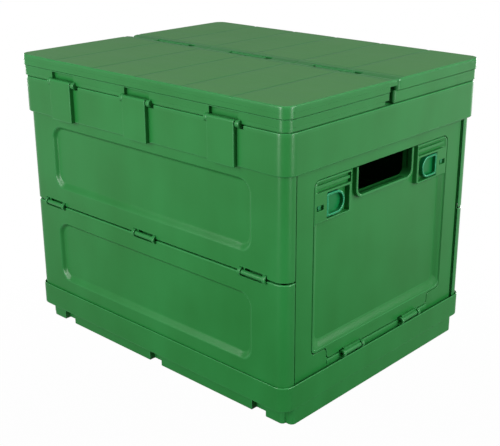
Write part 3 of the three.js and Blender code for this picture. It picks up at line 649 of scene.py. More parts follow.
@dataclass
class Maker:
    """Turns gathered solids into finished pieces that ride on the frame."""

    frame: dict
    finishes: Finishes
    middle_y: float

    def piece(self, name: str, solids: Solids, body: str, replaces: list, slot: str = "crate_plastic",
              turn: Turn = Turn.AS_BUILT) -> bpy.types.Object:
        """Makes one piece from its solids, dresses it and puts it on its body.

        Args:
            name: the piece's name.
            solids: its solids, as built on the front or right.
            body: the body that it rides on.
            replaces: the CAD nodes that it stands for.
            slot: the material slot of its finish.
            turn: whether it is turned half round to the rear or left.

        Returns:
            The piece.
        """
        points = np.concatenate(solids.points)
        points[:, :2] *= turn.value
        points[:, 1] += self.middle_y
        mesh = bpy.data.meshes.new(name)
        mesh.from_pydata((points * MM).tolist(), [], solids.faces)
        work = bmesh.new()
        work.from_mesh(mesh)
        bmesh.ops.recalc_face_normals(work, faces=work.faces)
        work.to_mesh(mesh)
        work.free()
        mesh.shade_smooth()
        mesh.set_sharp_from_angle(angle=SMOOTH_ANGLE)
        mark_edges(mesh)
        mesh.materials.append(self.finishes.materials[slot])
        made = bpy.data.objects.new(name, mesh)
        bpy.context.scene.collection.objects.link(made)
        weighted = made.modifiers.new("face weighted normals", "WEIGHTED_NORMAL")
        weighted.keep_sharp = True
        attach(made, body)
        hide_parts(*replaces)
        LOG.info("%s: %d points, on %s", name, len(points), body)
        return made


# Sizes shared by the sub-assemblies


@dataclass(frozen=True)
class Crate:
    """The levels and outlines that neighbouring pieces share, in millimetres."""

    plinth_top: float = 20.6
    rim_top: float = 48.8
    mid_seam: float = 165.2
    collar_bottom: float = 278.2
    collar_top: float = 321.6
    lid_bottom: float = 322.0
    band_bottom: float = 335.7
    lid_top: float = 348.4
    gap: float = 0.3
    run: float = 0.4
    lid_half: tuple = (215.0, 173.3)
    collar_half: tuple = (214.6, 172.6)
    wall_half: tuple = (210.3, 169.0)
    rim_half: tuple = (212.8, 171.2)
    plinth_half: tuple = (210.6, 160.5)
    wall_corner: float = 13.0
    pivot_reach: float = 126.0
    pivot_inset: float = 6.0
    end_face: float = 208.1
    end_thickness: float = 11.0

    @property
    def bay(self) -> tuple:
        """Half sizes of the room that the walls stand in."""
        return self.wall_half[0] + self.run, self.wall_half[1] + self.run

    @property
    def lower_pivot(self) -> float:
        """Height of the pins between the base tray and the lower panels."""
        return self.mid_seam - self.pivot_reach

    @property
    def upper_pivot(self) -> float:
        """Height of the pins between the collar and the upper panels."""
        return self.mid_seam + self.pivot_reach

    @property
    def wall_pivot(self) -> float:
        """How far out the long walls' pins are."""
        return self.wall_half[1] - self.pivot_inset

    @property
    def ledge_top(self) -> float:
        """Height of the ledge inside the base tray."""
        return self.lower_pivot - self.pivot_inset - self.run


@dataclass
class BaseTray:
    """The tray that the crate stands on: a notched plinth, a rim round the walls and a ribbed floor."""

    crate: Crate
    maker: Maker
    rim_corner: float = 15.0
    rim_edge: float = 0.8
    relief: float = 0.9
    well_half: tuple = (193.1, 153.0)
    floor_top: float = 26.0
    floor_bottom: float = 23.0
    hollow_half: tuple = (200.1, 146.5)
    plinth_edge: float = 1.2
    plinth_corner: float = 6.0
    lobe_inset: tuple = (9.0, 5.0)
    lobe_corner: float = 4.8
    lobe_root: float = 0.5
    notch_place: float = 167.0
    notch_half: float = 10.0
    notch_depth: float = 8.0
    notch_corner: float = 0.75
    rib: float = 3.0
    ribs_along: int = 8
    ribs_across: int = 6
    lug_place: float = 120.0
    lug_half: float = 7.0
    lug_head: float = 5.0

    def build(self) -> None:
        """Makes the tray's one moulding."""
        solids = Solids()
        self.rim_and_floor(solids)
        self.plinth(solids)
        self.underside(solids)
        self.lugs(solids)
        self.maker.piece("base_tray_moulding", solids, "base", ["base_tray"])

    def rim_and_floor(self, solids: Solids) -> None:
        """The rim, ledge and floor: rounded rectangles of changing size, one above another."""
        outer, bay, edge = self.crate.rim_half, self.crate.bay, self.rim_edge
        inner_corner = self.crate.wall_corner + self.crate.run
        low, high, ledge = self.crate.plinth_top, self.crate.rim_top, self.crate.ledge_top
        levels = [(self.hollow_half, 0, edge, self.floor_bottom), (self.hollow_half, 0, edge, low)]
        levels += [(outer, inset, self.rim_corner, low + drop) for inset, drop in fillet(edge)]
        levels += [(outer, inset, self.rim_corner, high - drop) for inset, drop in fillet(edge)[::-1]]
        levels += [(bay, -inset - self.relief, inner_corner, high - drop) for inset, drop in fillet(edge / 2)]
        levels.append((bay, -self.relief, inner_corner, ledge))
        levels += [(self.well_half, 0, self.crate.wall_corner, z) for z in (ledge, self.floor_top)]
        solids.loft(np.stack([level_loop(half, inset, corner, z) for half, inset, corner, z in levels]))

    def plinth(self, solids: Solids) -> None:
        """The plinth: a ring whose outline has three notches a side and a V at each corner."""
        half, lobe, notch = self.crate.plinth_half, self.lobe_inset, self.notch_half
        deep = half[1] - self.notch_depth
        wide, low = half[0] - lobe[0], lobe[1] - half[1]
        side = [((-wide, low), self.lobe_root), ((-wide, -half[1]), self.lobe_corner)]
        for place in three(self.notch_place):
            side += [((place + across, -out), self.notch_corner) for across, out in
                     ((-notch, half[1]), (-notch, deep), (notch, deep), (notch, half[1]))]
        side += [((wide, -half[1]), self.lobe_corner), ((wide, low), self.lobe_root),
                 ((half[0], low), self.plinth_corner), ((half[0], -low), self.plinth_corner)]
        corners = [corner for corner, _ in side] + [(-x, -y) for (x, y), _ in side]
        outline = rounded_polygon(corners, [radius for _, radius in side] * 2)
        hole = rounded_box((-self.hollow_half[0], -self.hollow_half[1]), self.hollow_half, self.rim_edge)
        solids.plate(outline, self.crate.plinth_top, lambda a, b, depth: [a, b, depth], self.plinth_edge,
                     holes=(hole,))

    def underside(self, solids: Solids) -> None:
        """Ribs under the floor, evenly spaced both ways."""
        wide, deep = self.hollow_half
        step = 2 * (wide + self.rib / 2) / (self.ribs_along + 1)
        for number in range(self.ribs_along):
            x = -wide - self.rib / 2 + (number + 1) * step
            solids.block((x - self.rib / 2, -deep, self.crate.gap),
                         (x + self.rib / 2, deep, self.floor_bottom))
        step = 2 * (deep + self.rib / 2) / (self.ribs_across + 1)
        for number in range(self.ribs_across):
            y = -deep - self.rib / 2 + (number + 1) * step
            solids.block((-wide, y - self.rib / 2, self.crate.gap * 2),
                         (wide, y + self.rib / 2, self.floor_bottom), along="x")

    def lugs(self, solids: Solids) -> None:
        """The four lugs that hold the lower panels' pins."""
        for x in (-self.lug_place, self.lug_place):
            for side in (-1, 1):
                ys = sorted([side * (self.crate.wall_pivot - self.crate.pivot_inset),
                             side * (self.crate.bay[1] + self.crate.run)])
                solids.block((x - self.lug_half, ys[0], self.crate.ledge_top - self.lug_head),
                             (x + self.lug_half, ys[1], self.crate.lower_pivot + self.lug_head), along="x")


def level_loop(half: tuple, inset: float, corner: float, z: float) -> np.ndarray:
    """A level rounded rectangle about the upright axis.

    Args:
        half: its half sizes.
        inset: how far in from them it lies; its corners tighten by as much.
        corner: the corner radius of the outline without the inset.
        z: its height.

    Returns:
        Its points, of shape (points, 3).
    """
    reach = (half[0] - inset, half[1] - inset)
    flat = rounded_box((-reach[0], -reach[1]), reach, corner - inset)
    return np.column_stack([flat, np.full(len(flat), z)])


@dataclass
class LongWall:
    """A long wall: two panels with a shallow recess each, folding inward at three hinges between them."""

    crate: Crate
    maker: Maker
    turn: Turn
    recess_half: float = 164.3
    recess_seam_margin: float = 22.4
    recess_far_margin: float = 24.6
    recess_corner: float = 17.0
    recess_depth: float = 4.5
    recess_bevel: float = 4.8
    foot_bevel: float = 7.6
    head_bevel: float = 4.0
    edge: float = 0.8
    seam_gap: float = 1.1
    seam_edges: tuple = (1.2, 0.3)
    tongue: float = 3.0
    hinge_place: float = 167.0
    hinge_half: float = 19.0
    ear: float = 4.0
    ear_edge: float = 0.7
    ear_radius: float = 5.0
    ear_inset: float = 0.7
    bar_radius: float = 2.7
    slot_half: float = 5.4
    slot_depth: float = 6.0
    web: float = 2.5
    web_depth: float = 1.4
    proud: float = 0.3
    slab_end: float = 190.3
    slab: float = 7.5
    skin: float = 5.0
    return_wall: float = 1.0
    return_edge: float = 152.6
    pivot_trim: float = 4.8
    lug_place: float = 120.0
    lug_room: float = 7.4
    grid_step: float = 1.1
    seam_lines: tuple = (2.0, 6.2, 0.5)
    crease: float = 0.06

    def build(self) -> None:
        """Makes both panels of the wall."""
        side = "front" if self.turn is Turn.AS_BUILT else "rear"
        for upper in (False, True):
            part = "upper" if upper else "lower"
            solids = Solids()
            self.skin_sheet(solids, upper)
            self.knuckles(solids, upper)
            self.pivot_edge(solids, upper)
            self.maker.piece(f"{side}_{part}_panel_moulding", solids, f"{side}_{part}",
                             [f"{side}_{part}_panel"], turn=self.turn)

    def height(self, upper: bool, rise: float | np.ndarray) -> float | np.ndarray:
        """Height of a place by its distance from the middle seam."""
        return self.crate.mid_seam + (rise if upper else -rise)

    def hinge_edges(self) -> np.ndarray:
        """Places along the wall where the hinges' clearances start and end, as creases of two lines."""
        inner = self.hinge_half - self.ear
        offsets = np.array([self.hinge_half + self.crate.run, inner, inner - self.crate.run])
        places = np.array(three(self.hinge_place))
        edges = (places[:, None] + np.concatenate([offsets, -offsets])[None, :]).ravel()
        return np.concatenate([edges - self.crease, edges + self.crease])

    def skin_sheet(self, solids: Solids, upper: bool) -> None:
        """The panel's skin on a grid along the wall and up it.

        Along the wall the carrier is straight, turns a quarter circle at each end and runs on as a short
        return. The skin lies below it by the depth of the recess, the rounded edges and the hinges'
        grooves, whichever is deepest.
        """
        straight = self.crate.wall_half[0] - self.crate.wall_corner
        arc = self.crate.wall_corner * math.pi / 2
        reach = self.crate.pivot_reach - self.pivot_trim
        last = straight + arc + self.crate.wall_half[1] - self.crate.wall_corner - self.return_edge
        band = np.arange(0, self.recess_corner + self.foot_bevel + self.grid_step, self.grid_step)
        half = line_places(self.recess_half - band, np.array([0, self.slab_end]), self.recess_half + 1,
                           np.linspace(straight, straight + arc, CORNER_STEPS + 1),
                           last - self.edge * EDGE_SHARES)
        along = line_places(-half, half, self.hinge_edges())
        rise = line_places(self.seam_gap + self.seam_edges[int(upper)] * EDGE_SHARES,
                           np.arange(*self.seam_lines), self.recess_seam_margin + band,
                           self.slot_half - self.crease, self.slot_half + self.crease,
                           self.crate.pivot_reach - self.recess_far_margin - band,
                           reach - self.edge * EDGE_SHARES[[0, 2, 3]])
        u, r = np.meshgrid(along, rise)
        depth = self.skin_depth(u, r, upper, last)
        beyond = np.clip(np.abs(u) - straight, 0, None)
        angle = np.clip(beyond / self.crate.wall_corner, 0, math.pi / 2)
        onward = np.clip(beyond - arc, 0, None)
        side = np.sign(u)
        normal = np.stack([side * np.sin(angle), -np.cos(angle)], axis=-1)
        centre_y = self.crate.wall_half[1] - self.crate.wall_corner
        base = np.stack([side * np.minimum(np.abs(u), straight), onward - centre_y], axis=-1)
        base = base + normal * self.crate.wall_corner
        wall = self.skin + (self.return_wall - self.skin) * soft_step(angle, math.pi / 4)
        wall = np.where(np.abs(u) < self.slab_end + self.crease, self.slab, wall)
        z = self.height(upper, r)[..., None]
        front = np.concatenate([base - normal * depth[..., None], z], axis=-1)
        back = np.concatenate([base - normal * wall[..., None], z], axis=-1)
        solids.sheet(front, back)

    def skin_depth(self, u: np.ndarray, r: np.ndarray, upper: bool, last: float) -> np.ndarray:
        """How far the skin lies below its carrier at places along the wall and distances from the seam.

        The recess's slope is as wide as a mix of its widths: wholly the foot's or head's along those, and
        less round the corners, by how much further out a place is across the wall than up it.
        """
        far = self.crate.pivot_reach - self.recess_far_margin
        inside = box_distance(u, r, (-self.recess_half, self.recess_seam_margin), (self.recess_half, far),
                              self.recess_corner)
        foot = r - self.recess_seam_margin if upper else far - r
        beside = self.recess_half - np.abs(u)
        head = far - self.recess_seam_margin - foot
        share = np.clip(0.5 + (beside - np.minimum(foot, head)) / (2 * self.recess_corner), 0, 1)
        width = self.recess_bevel + (np.where(foot < head, self.foot_bevel, self.head_bevel)
                                     - self.recess_bevel) * share
        depth = self.recess_depth * soft_step(inside, width)
        depth = np.maximum(depth, round_over(r - self.seam_gap, self.seam_edges[int(upper)]))
        depth = np.maximum(depth, round_over(last - np.abs(u), self.edge))
        for place in three(self.hinge_place):
            away = np.abs(u - place)
            inner = self.hinge_half - self.ear
            slot = (away < inner - upper * self.crate.run) & (r < self.slot_half)
            depth = np.where(slot, self.slot_depth, depth)
            radius = self.ear_radius + self.crate.run
            groove = np.sqrt(np.maximum(radius**2 - r**2, 0)) - self.proud
            beside = (away > inner - self.crate.run) & (away < self.hinge_half + self.crate.run)
            depth = np.where(beside & upper, np.maximum(depth, groove), depth)
        return depth

    def knuckles(self, solids: Solids, upper: bool) -> None:
        """The upper panel's bars, or the lower panel's ears and the tongue behind the seam."""
        inner = self.hinge_half - self.ear
        axis = (-(self.crate.wall_half[1] + self.proud), self.crate.mid_seam)
        for place in three(self.hinge_place):
            if upper:
                reach = inner - self.crate.run
                solids.bar((place - reach, place + reach), axis, self.bar_radius, self.crate.gap)
                face = -self.crate.wall_half[1]
                for start in (place - reach, place + reach - self.web):
                    solids.block((start, face + self.web_depth, self.crate.mid_seam),
                                 (start + self.web, face + self.slot_depth + self.edge,
                                  self.crate.mid_seam + self.slot_half + self.edge), self.crate.gap, "x")
            else:
                for near, far in ((place - self.hinge_half, place - inner),
                                  (place + inner, place + self.hinge_half)):
                    solids.bar((near, far), (self.ear_inset - self.crate.wall_half[1], axis[1]),
                               self.ear_radius, self.ear_edge)
        if not upper:
            back = self.slab - self.crate.wall_half[1]
            for near, rise in ((-self.crate.run, -self.tongue), (self.crate.gap, self.tongue)):
                solids.block((-self.slab_end, back + near, self.crate.mid_seam - 2 * self.tongue),
                             (self.slab_end, back + self.return_wall, self.crate.mid_seam + rise),
                             self.crate.gap / 2, "x")

    def pivot_edge(self, solids: Solids, upper: bool) -> None:
        """The rounded edge that turns on the pins, with gaps for the lugs."""
        level = self.height(upper, self.crate.pivot_reach)
        trim = self.height(upper, self.crate.pivot_reach - self.pivot_trim)
        ends = [-self.slab_end, -self.lug_place - self.lug_room, -self.lug_place + self.lug_room,
                self.lug_place - self.lug_room, self.lug_place + self.lug_room, self.slab_end]
        for start, end in zip(ends[::2], ends[1::2]):
            solids.bar((start, end), (-self.crate.wall_pivot, level), self.crate.pivot_inset, self.edge)
            solids.block((start, -self.crate.wall_half[1] + self.proud, min(level, trim)),
                         (end, -self.crate.wall_half[1] + self.slab, max(level, trim)), self.proud, "x")


@dataclass
class TopFrame:
    """The deep collar, with the lid's hinge plates on its front and lugs for all four walls inside."""

    crate: Crate
    maker: Maker
    corner: float = 16.0
    edge: float = 1.0
    foot_edge: float = 1.5
    plate_place: float = 131.0
    plate_half: float = 18.7
    plate_face: float = 177.9
    plate_edge: float = 0.8
    plate_top: float = 326.6
    plate_back: float = 169.1
    plate_rounds: tuple = (2.4, 3.8)
    axis_z: float = 322.7
    knuckle_radius: float = 4.6
    knuckle: float = 8.0
    lug_place: float = 120.0
    lug_half: float = 7.0
    lug_head: float = 5.0
    end_lug_place: float = 110.0
    end_lug_half: float = 8.0
    end_pivot: float = 204.3
    end_barrel: float = 3.8
    end_root: float = 3.0
    end_heights: tuple = (318.5, 300.5)
    return_reach: float = 10.8

    def build(self) -> None:
        """Makes the frame's one moulding."""
        solids = Solids()
        self.collar(solids)
        self.hinge_plates(solids)
        self.wall_lugs(solids)
        self.end_lugs(solids)
        self.maker.piece("top_frame_moulding", solids, "top", ["top_frame"])

    def notches(self) -> list:
        """Where the collar's top edge is cut for the lid's knuckles, as pairs of places along it."""
        reach = self.plate_half + 2 * self.crate.run + self.knuckle
        pairs = []
        for place in three(self.plate_place):
            pairs += [(place - reach, place - self.plate_half), (place + self.plate_half, place + reach)]
        return pairs

    def collar(self, solids: Solids) -> None:
        """A ring up to the notches' floor, then a long run round the crate and short ones between them."""
        outer, inner = self.crate.collar_half, self.crate.bay
        inner_corner = self.crate.wall_corner + self.crate.run
        low, high = self.crate.collar_bottom, self.crate.collar_top
        floor = self.axis_z - self.knuckle_radius - self.crate.run
        levels = [(outer, inset, self.corner, low + drop) for inset, drop in fillet(self.foot_edge)]
        levels += [(outer, 0, self.corner, floor), (inner, 0, inner_corner, floor)]
        levels += [(inner, -inset, inner_corner, low + drop) for inset, drop in fillet(self.edge / 2)[::-1]]
        solids.loft(np.stack([level_loop(*level) for level in levels]), closed=True)
        thick = outer[1] - inner[1]
        across = [(-inset, high - drop) for inset, drop in fillet(self.edge)]
        back = [(inset - thick, high - drop) for inset, drop in fillet(self.edge / 2)]
        profile = np.array([(-thick, floor), (0, floor), *across[::-1], *back])
        pairs = self.notches()
        front = -outer[1]
        for (_, start), (end, _) in zip(pairs[:-1], pairs[1:]):
            solids.loft(swept(np.array([(start, front), (end, front)]), profile))
        ring = rounded_box((-outer[0], -outer[1]), outer, self.corner)
        around = np.roll(ring, -(CORNER_STEPS + 1), axis=0)
        path = np.vstack([(pairs[-1][1], front), around, (pairs[0][0], front)])
        solids.loft(swept(path, profile))

    def hinge_plates(self, solids: Solids) -> None:
        """The raised plates, whose rounded tops stand between the lid's knuckles."""
        for place in three(self.plate_place):
            face, root, back = -self.plate_face, -self.crate.collar_half[1] + self.edge, -self.plate_back
            step = self.crate.collar_top - self.edge
            corners = [(face, self.crate.collar_bottom), (root, self.crate.collar_bottom), (root, step),
                       (back, step), (back, self.plate_top), (face, self.plate_top)]
            radii = [self.edge, *[self.crate.gap] * 3, self.plate_rounds[1], self.plate_rounds[0]]
            right = place + self.plate_half
            solids.plate(rounded_polygon(corners, radii), 2 * self.plate_half,
                         lambda y, z, depth, right=right: [right - depth, y, z],
                         self.plate_edge, self.plate_edge)

    def wall_lugs(self, solids: Solids) -> None:
        """The four lugs that hold the upper panels' pins."""
        for x in (-self.lug_place, self.lug_place):
            for side in (-1, 1):
                ys = sorted([side * (self.crate.wall_pivot - self.lug_head),
                             side * (self.crate.bay[1] + self.crate.run)])
                solids.block((x - self.lug_half, ys[0], self.crate.upper_pivot - self.lug_head),
                             (x + self.lug_half, ys[1], self.crate.upper_pivot + self.crate.pivot_inset),
                             along="x")

    def end_lugs(self, solids: Solids) -> None:
        """The lugs that hang the end walls, at a different height on each side."""
        for sense, level in zip((1, -1), self.end_heights):
            top = min(level + self.end_barrel + self.end_root, self.crate.collar_top - self.edge)
            root = max(level - self.end_barrel, self.crate.upper_pivot + self.return_reach)
            for y in (-self.end_lug_place, self.end_lug_place):
                near, far = y - self.end_lug_half, y + self.end_lug_half
                xs = sorted([sense * self.end_pivot, sense * (self.crate.end_face - self.crate.gap)])
                solids.block((xs[0], near, level), (xs[1], far, top), along="y")
                xs = sorted([sense * (x + self.crate.run) for x in (self.end_pivot, self.crate.bay[0])])
                solids.block((xs[0], near + self.crate.gap, root),
                             (xs[1], far - self.crate.gap, top - self.crate.gap), along="y")
                solids.bar((near, far), (sense * self.end_pivot, level), self.end_barrel, self.crate.gap, "y")


@dataclass
class LidLeaf:
    """One leaf of the lid: a flat deck with sink lines, an upper band and a slightly inset skirt."""

    crate: Crate
    maker: Maker
    seam: float = 4.5
    corner: float = 13.0
    seam_corner: float = 1.0
    edge: float = 1.6
    deck: float = 3.0
    wall: float = 3.2
    skirt_inset: float = 1.0
    skirt_low: float = 323.2
    rebate: float = 1.4
    groove: float = 0.9
    groove_depth: float = 1.2
    band_edge: float = 0.4
    strip: float = 12.0
    ribs: int = 5
    rib: float = 2.0
    rib_depth: float = 3.5
    sink_width: float = 2.2
    sink_depth: float = 0.5
    seam_edge: float = 0.5
    crease: float = 0.06
    seam_rib: float = 2.4
    seam_rib_depth: float = 12.0
    hinge_place: float = 131.0
    hinge_half: float = 27.0
    knuckle: float = 10.0
    knuckle_radius: float = 1.3
    axis_drop: float = 1.6
    seam_slope: float = 0.17
    pocket_end: float = 8.0
    pocket_half: float = 6.0
    pocket_floor: float = 4.6
    web: float = 1.2

    @property
    def axis_z(self) -> float:
        """Height of the seam hinges' axis."""
        return self.crate.lid_top - self.axis_drop

    def sink_places(self) -> np.ndarray:
        """Places along the lid where a rib below has drawn the deck in a little."""
        step = 2 * self.crate.lid_half[0] / (self.ribs + 1)
        return -self.crate.lid_half[0] + step * np.arange(1, self.ribs + 1)

    def deck_plate(self, solids: Solids, side: int) -> None:
        """The deck: a grid with round corners, a rounded rim and a flat underside.

        In each corner square the grid is pressed into a quarter disc, by x times the root of one less half
        of y squared, and the other way round. Sink lines are shallow bell-shaped grooves, the deck falls
        to the seam so that the leaves fold over, and the seam's edge draws back round each hinge.

        Args:
            solids: where the deck goes.
            side: -1 on the front leaf, 1 on the rear one.
        """
        half = self.crate.lid_half[0] - self.edge
        near = self.seam + side * (self.crate.gap + self.seam_edge)
        far = side * (self.crate.lid_half[1] - self.edge)
        outer, tight = self.corner - self.edge, self.seam_corner - self.seam_edge
        bell = self.sink_width * np.linspace(-1.5, 1.5, 7)
        arc, bend = np.linspace(0, outer, CORNER_STEPS + 1), np.linspace(0, tight, CORNER_STEPS + 1)
        crease = np.array([-self.crease, self.crease])
        ends = np.array([self.hinge_half + self.pocket_end, -self.hinge_half - self.pocket_end])
        walls = (np.array(three(self.hinge_place))[:, None] + ends).ravel()
        along = line_places(-half + arc, half - arc, -half + bend, half - bend,
                            (self.sink_places()[:, None] + bell).ravel(), (walls[:, None] + crease).ravel())
        line_at = self.seam + side * self.strip
        across = line_places(far - side * arc, line_at + bell, near + side * bend, (near + far) / 2)
        x, y = np.meshgrid(along, across)
        plan_x, plan_y = x, y
        for radius, start, sense in ((outer, far, side), (tight, near, -side)):
            inward_x = np.clip((np.abs(x) - (half - radius)) / radius, 0, 1)
            inward_y = np.clip(1 - sense * (start - y) / radius, 0, 1)
            both = (inward_x > 0) & (inward_y > 0)
            bent_x = radius * inward_x * np.sqrt(1 - inward_y**2 / 2) + (half - radius)
            bent_y = start - sense * radius * (1 - inward_y * np.sqrt(1 - inward_x**2 / 2))
            plan_x = np.where(both, np.sign(x) * bent_x, plan_x)
            plan_y = np.where(both, bent_y, plan_y)
        sunk = np.exp(-((x[..., None] - self.sink_places()) / self.sink_width) ** 2).sum(-1)
        sunk = np.maximum(sunk, np.exp(-((y - line_at) / self.sink_width) ** 2)) * self.sink_depth
        away = np.abs(x[..., None] - np.array(three(self.hinge_place))).min(-1)
        start, stop = side * (near - self.seam), self.strip - bell[-1]
        share = np.clip((side * (y - self.seam) - start) / (stop - start), 0, 1)
        drawn = self.seam + side * (self.pocket_half + share * (stop - self.pocket_half))
        plan_y = np.where((away < self.hinge_half + self.pocket_end) & (share < 1), drawn, plan_y)
        sunk = sunk + np.clip(self.axis_drop - self.seam_slope * side * (plan_y - self.seam), 0, None)
        top = np.stack([plan_x, plan_y, self.crate.lid_top - sunk], axis=-1)
        rows, columns = x.shape
        cell = np.arange(rows * columns).reshape(rows, columns)
        rim = np.concatenate([cell[0, :-1], cell[:-1, -1], cell[-1, :0:-1], cell[:0:-1, 0]])
        flat = top.reshape(-1, 3)
        loop = flat[rim]
        outward = offset(loop[:, :2], -1.0) - loop[:, :2]
        at_seam = side * (loop[:, 1] - self.seam) < self.strip
        inner = at_seam & (np.abs(loop[:, 0]) < half - tight - self.crease)
        fall = np.where(inner, self.seam_edge, self.edge)
        fall = np.minimum(fall, loop[:, 2] - self.crate.lid_top + self.deck - self.crate.gap)
        reach = np.stack([fall, np.where(at_seam, self.seam_edge, self.edge)], axis=1)
        stack = [np.column_stack([loop[:, :2] + outward * reach * (1 - inset), loop[:, 2] - fall * down])
                 for inset, down in fillet(1.0)[1:]]
        stack.append(np.column_stack([stack[-1][:, :2], np.full(len(rim), self.crate.lid_top - self.deck)]))
        skirt = np.stack(stack)
        count, size = len(rim), len(flat)
        faces = grid_faces(rows, columns, False, False).tolist()
        first = np.concatenate([rim[:, None], np.arange(size, size + count)[:, None]], axis=1)
        after = np.roll(first, -1, axis=0)
        faces += np.stack([first[:, 0], after[:, 0], after[:, 1], first[:, 1]], axis=1).tolist()
        faces += (grid_faces(len(skirt), count, False, True) + size).tolist()
        last = size + (len(skirt) - 1) * count
        faces.append(list(range(last, last + count)))
        solids.keep(np.concatenate([flat, skirt.reshape(-1, 3)]), faces)

    def side_path(self, inset: float, side: int, right_end: float, left_end: float) -> np.ndarray:
        """The outline of a leaf's three outer sides, anticlockwise, from one end at the seam to the other.

        Args:
            inset: how far in from the lid's outline it runs.
            side: -1 on the front leaf, 1 on the rear one.
            right_end: where it ends across the lid, on the right.
            left_end: and on the left.

        Returns:
            The path's points.
        """
        reach = (self.crate.lid_half[0] - inset, self.crate.lid_half[1] - inset)
        ring = rounded_box((-reach[0], -reach[1]), reach, self.corner - inset)
        arc = CORNER_STEPS + 1
        corners = ring[:2 * arc] if side < 0 else ring[2 * arc:]
        ends = [(-reach[0], left_end), (reach[0], right_end)]
        start, end = ends if side < 0 else ends[::-1]
        return np.vstack([start, corners, end])

    def section(self, low: float, high: float, inset: float, edge: float, groove: float = 0) -> np.ndarray:
        """The cross-section of a side wall between two heights, rounded at its outer lower edge.

        A wall that ends at the skirt's foot has a lip behind it, which nearly meets the collar.

        Args:
            low: height of its lower end.
            high: height of its upper end.
            inset: how far its face lies in from the lid's outline.
            edge: radius of its lower edge.
            groove: height of the groove at its upper end, if it has one.

        Returns:
            The section's points (out, z).
        """
        back = inset - self.wall
        foot = [(-inward, low + drop) for inward, drop in fillet(edge)]
        lip = [(back, self.crate.lid_bottom), (-self.rebate, self.crate.lid_bottom), (-self.rebate, low)]
        head = [(0, high - groove), (-self.groove_depth, high - groove), (-self.groove_depth, high)]
        return np.array([*(lip if low == self.skirt_low else [(back, low)]), *foot,
                         *(head if groove else [(0, high)]), (back, high)])

    def turned_end(self, inset: float, start: float, corner: float, reach_in: float) -> np.ndarray:
        """The rounded end of a rear side wall on the right, from inside the lid to its outer face.

        Args:
            inset: how far in from the lid's outline the wall runs.
            start: where the end's face lies across the lid.
            corner: radius of the end's corner.
            reach_in: how far the end's face runs in.

        Returns:
            The path's points, anticlockwise.
        """
        reach = self.crate.lid_half[0] - inset
        corners = [(reach - reach_in, start), (reach, start), (reach, start + reach_in)]
        bend = rounded_polygon(corners, [self.crate.gap, corner, self.crate.gap])
        return np.vstack([(reach - reach_in, start), bend[CORNER_STEPS + 1:2 * (CORNER_STEPS + 1)]])

    def seam_side(self, solids: Solids, side: int) -> None:
        """The rib under the seam edge, with the ribs that run across under the deck."""
        under = self.crate.lid_top - self.deck
        ys = sorted([self.seam + side * self.crate.gap, self.seam + side * (self.crate.gap + self.seam_rib)])
        half = self.crate.lid_half[0] - self.wall - self.strip
        clear = self.hinge_half + self.pocket_end + self.seam_rib
        ends = [-half, *[place + way * clear for place in three(self.hinge_place)
                         for way in (-1, 1)], half]
        for start, end in zip(ends[::2], ends[1::2]):
            solids.block((start, ys[0], under - self.seam_rib_depth), (end, ys[1], under + self.deck / 3),
                         along="x")
        for x in self.sink_places():
            ys = sorted([self.seam + side * self.seam_rib, side * (self.crate.lid_half[1] - self.wall)])
            solids.block((x - self.rib / 2, ys[0], under - self.rib_depth),
                         (x + self.rib / 2, ys[1], under + self.deck / 3), along="y")

    def seam_knuckles(self, solids: Solids, side: int) -> None:
        """The leaf's half of the seam hinges: knuckles on webs from the floor of a pocket under the deck."""
        inner = self.hinge_half - self.knuckle
        under, floor = self.crate.lid_top - self.deck, self.crate.lid_top - self.pocket_floor
        foot = floor - self.knuckle_radius
        for place in three(self.hinge_place):
            spans = [(place - self.hinge_half, place - inner), (place + inner, place + self.hinge_half)]
            if side > 0:
                spans = [(place - inner + self.crate.run, place + inner - self.crate.run)]
            for start, end in spans:
                solids.bar((start, end), (self.seam, self.axis_z), self.knuckle_radius, self.crate.gap)
                ys = sorted([self.seam, self.seam + side * self.web])
                solids.block((start, ys[0], foot), (end, ys[1], self.axis_z), self.crate.gap, "x")
            left, right = place - self.hinge_half + self.crate.run, place + self.hinge_half - self.crate.run
            wall = self.seam + side * (self.pocket_half - self.crate.gap)
            ys = sorted([self.seam + side * self.crate.gap, wall])
            solids.block((left, ys[0], foot), (right, ys[1], floor), self.crate.gap, "x")
            ys = sorted([wall - side * self.crate.gap, wall + side * self.web])
            solids.block((left, ys[0], foot), (right, ys[1], under + self.deck / 3), self.crate.gap, "x")


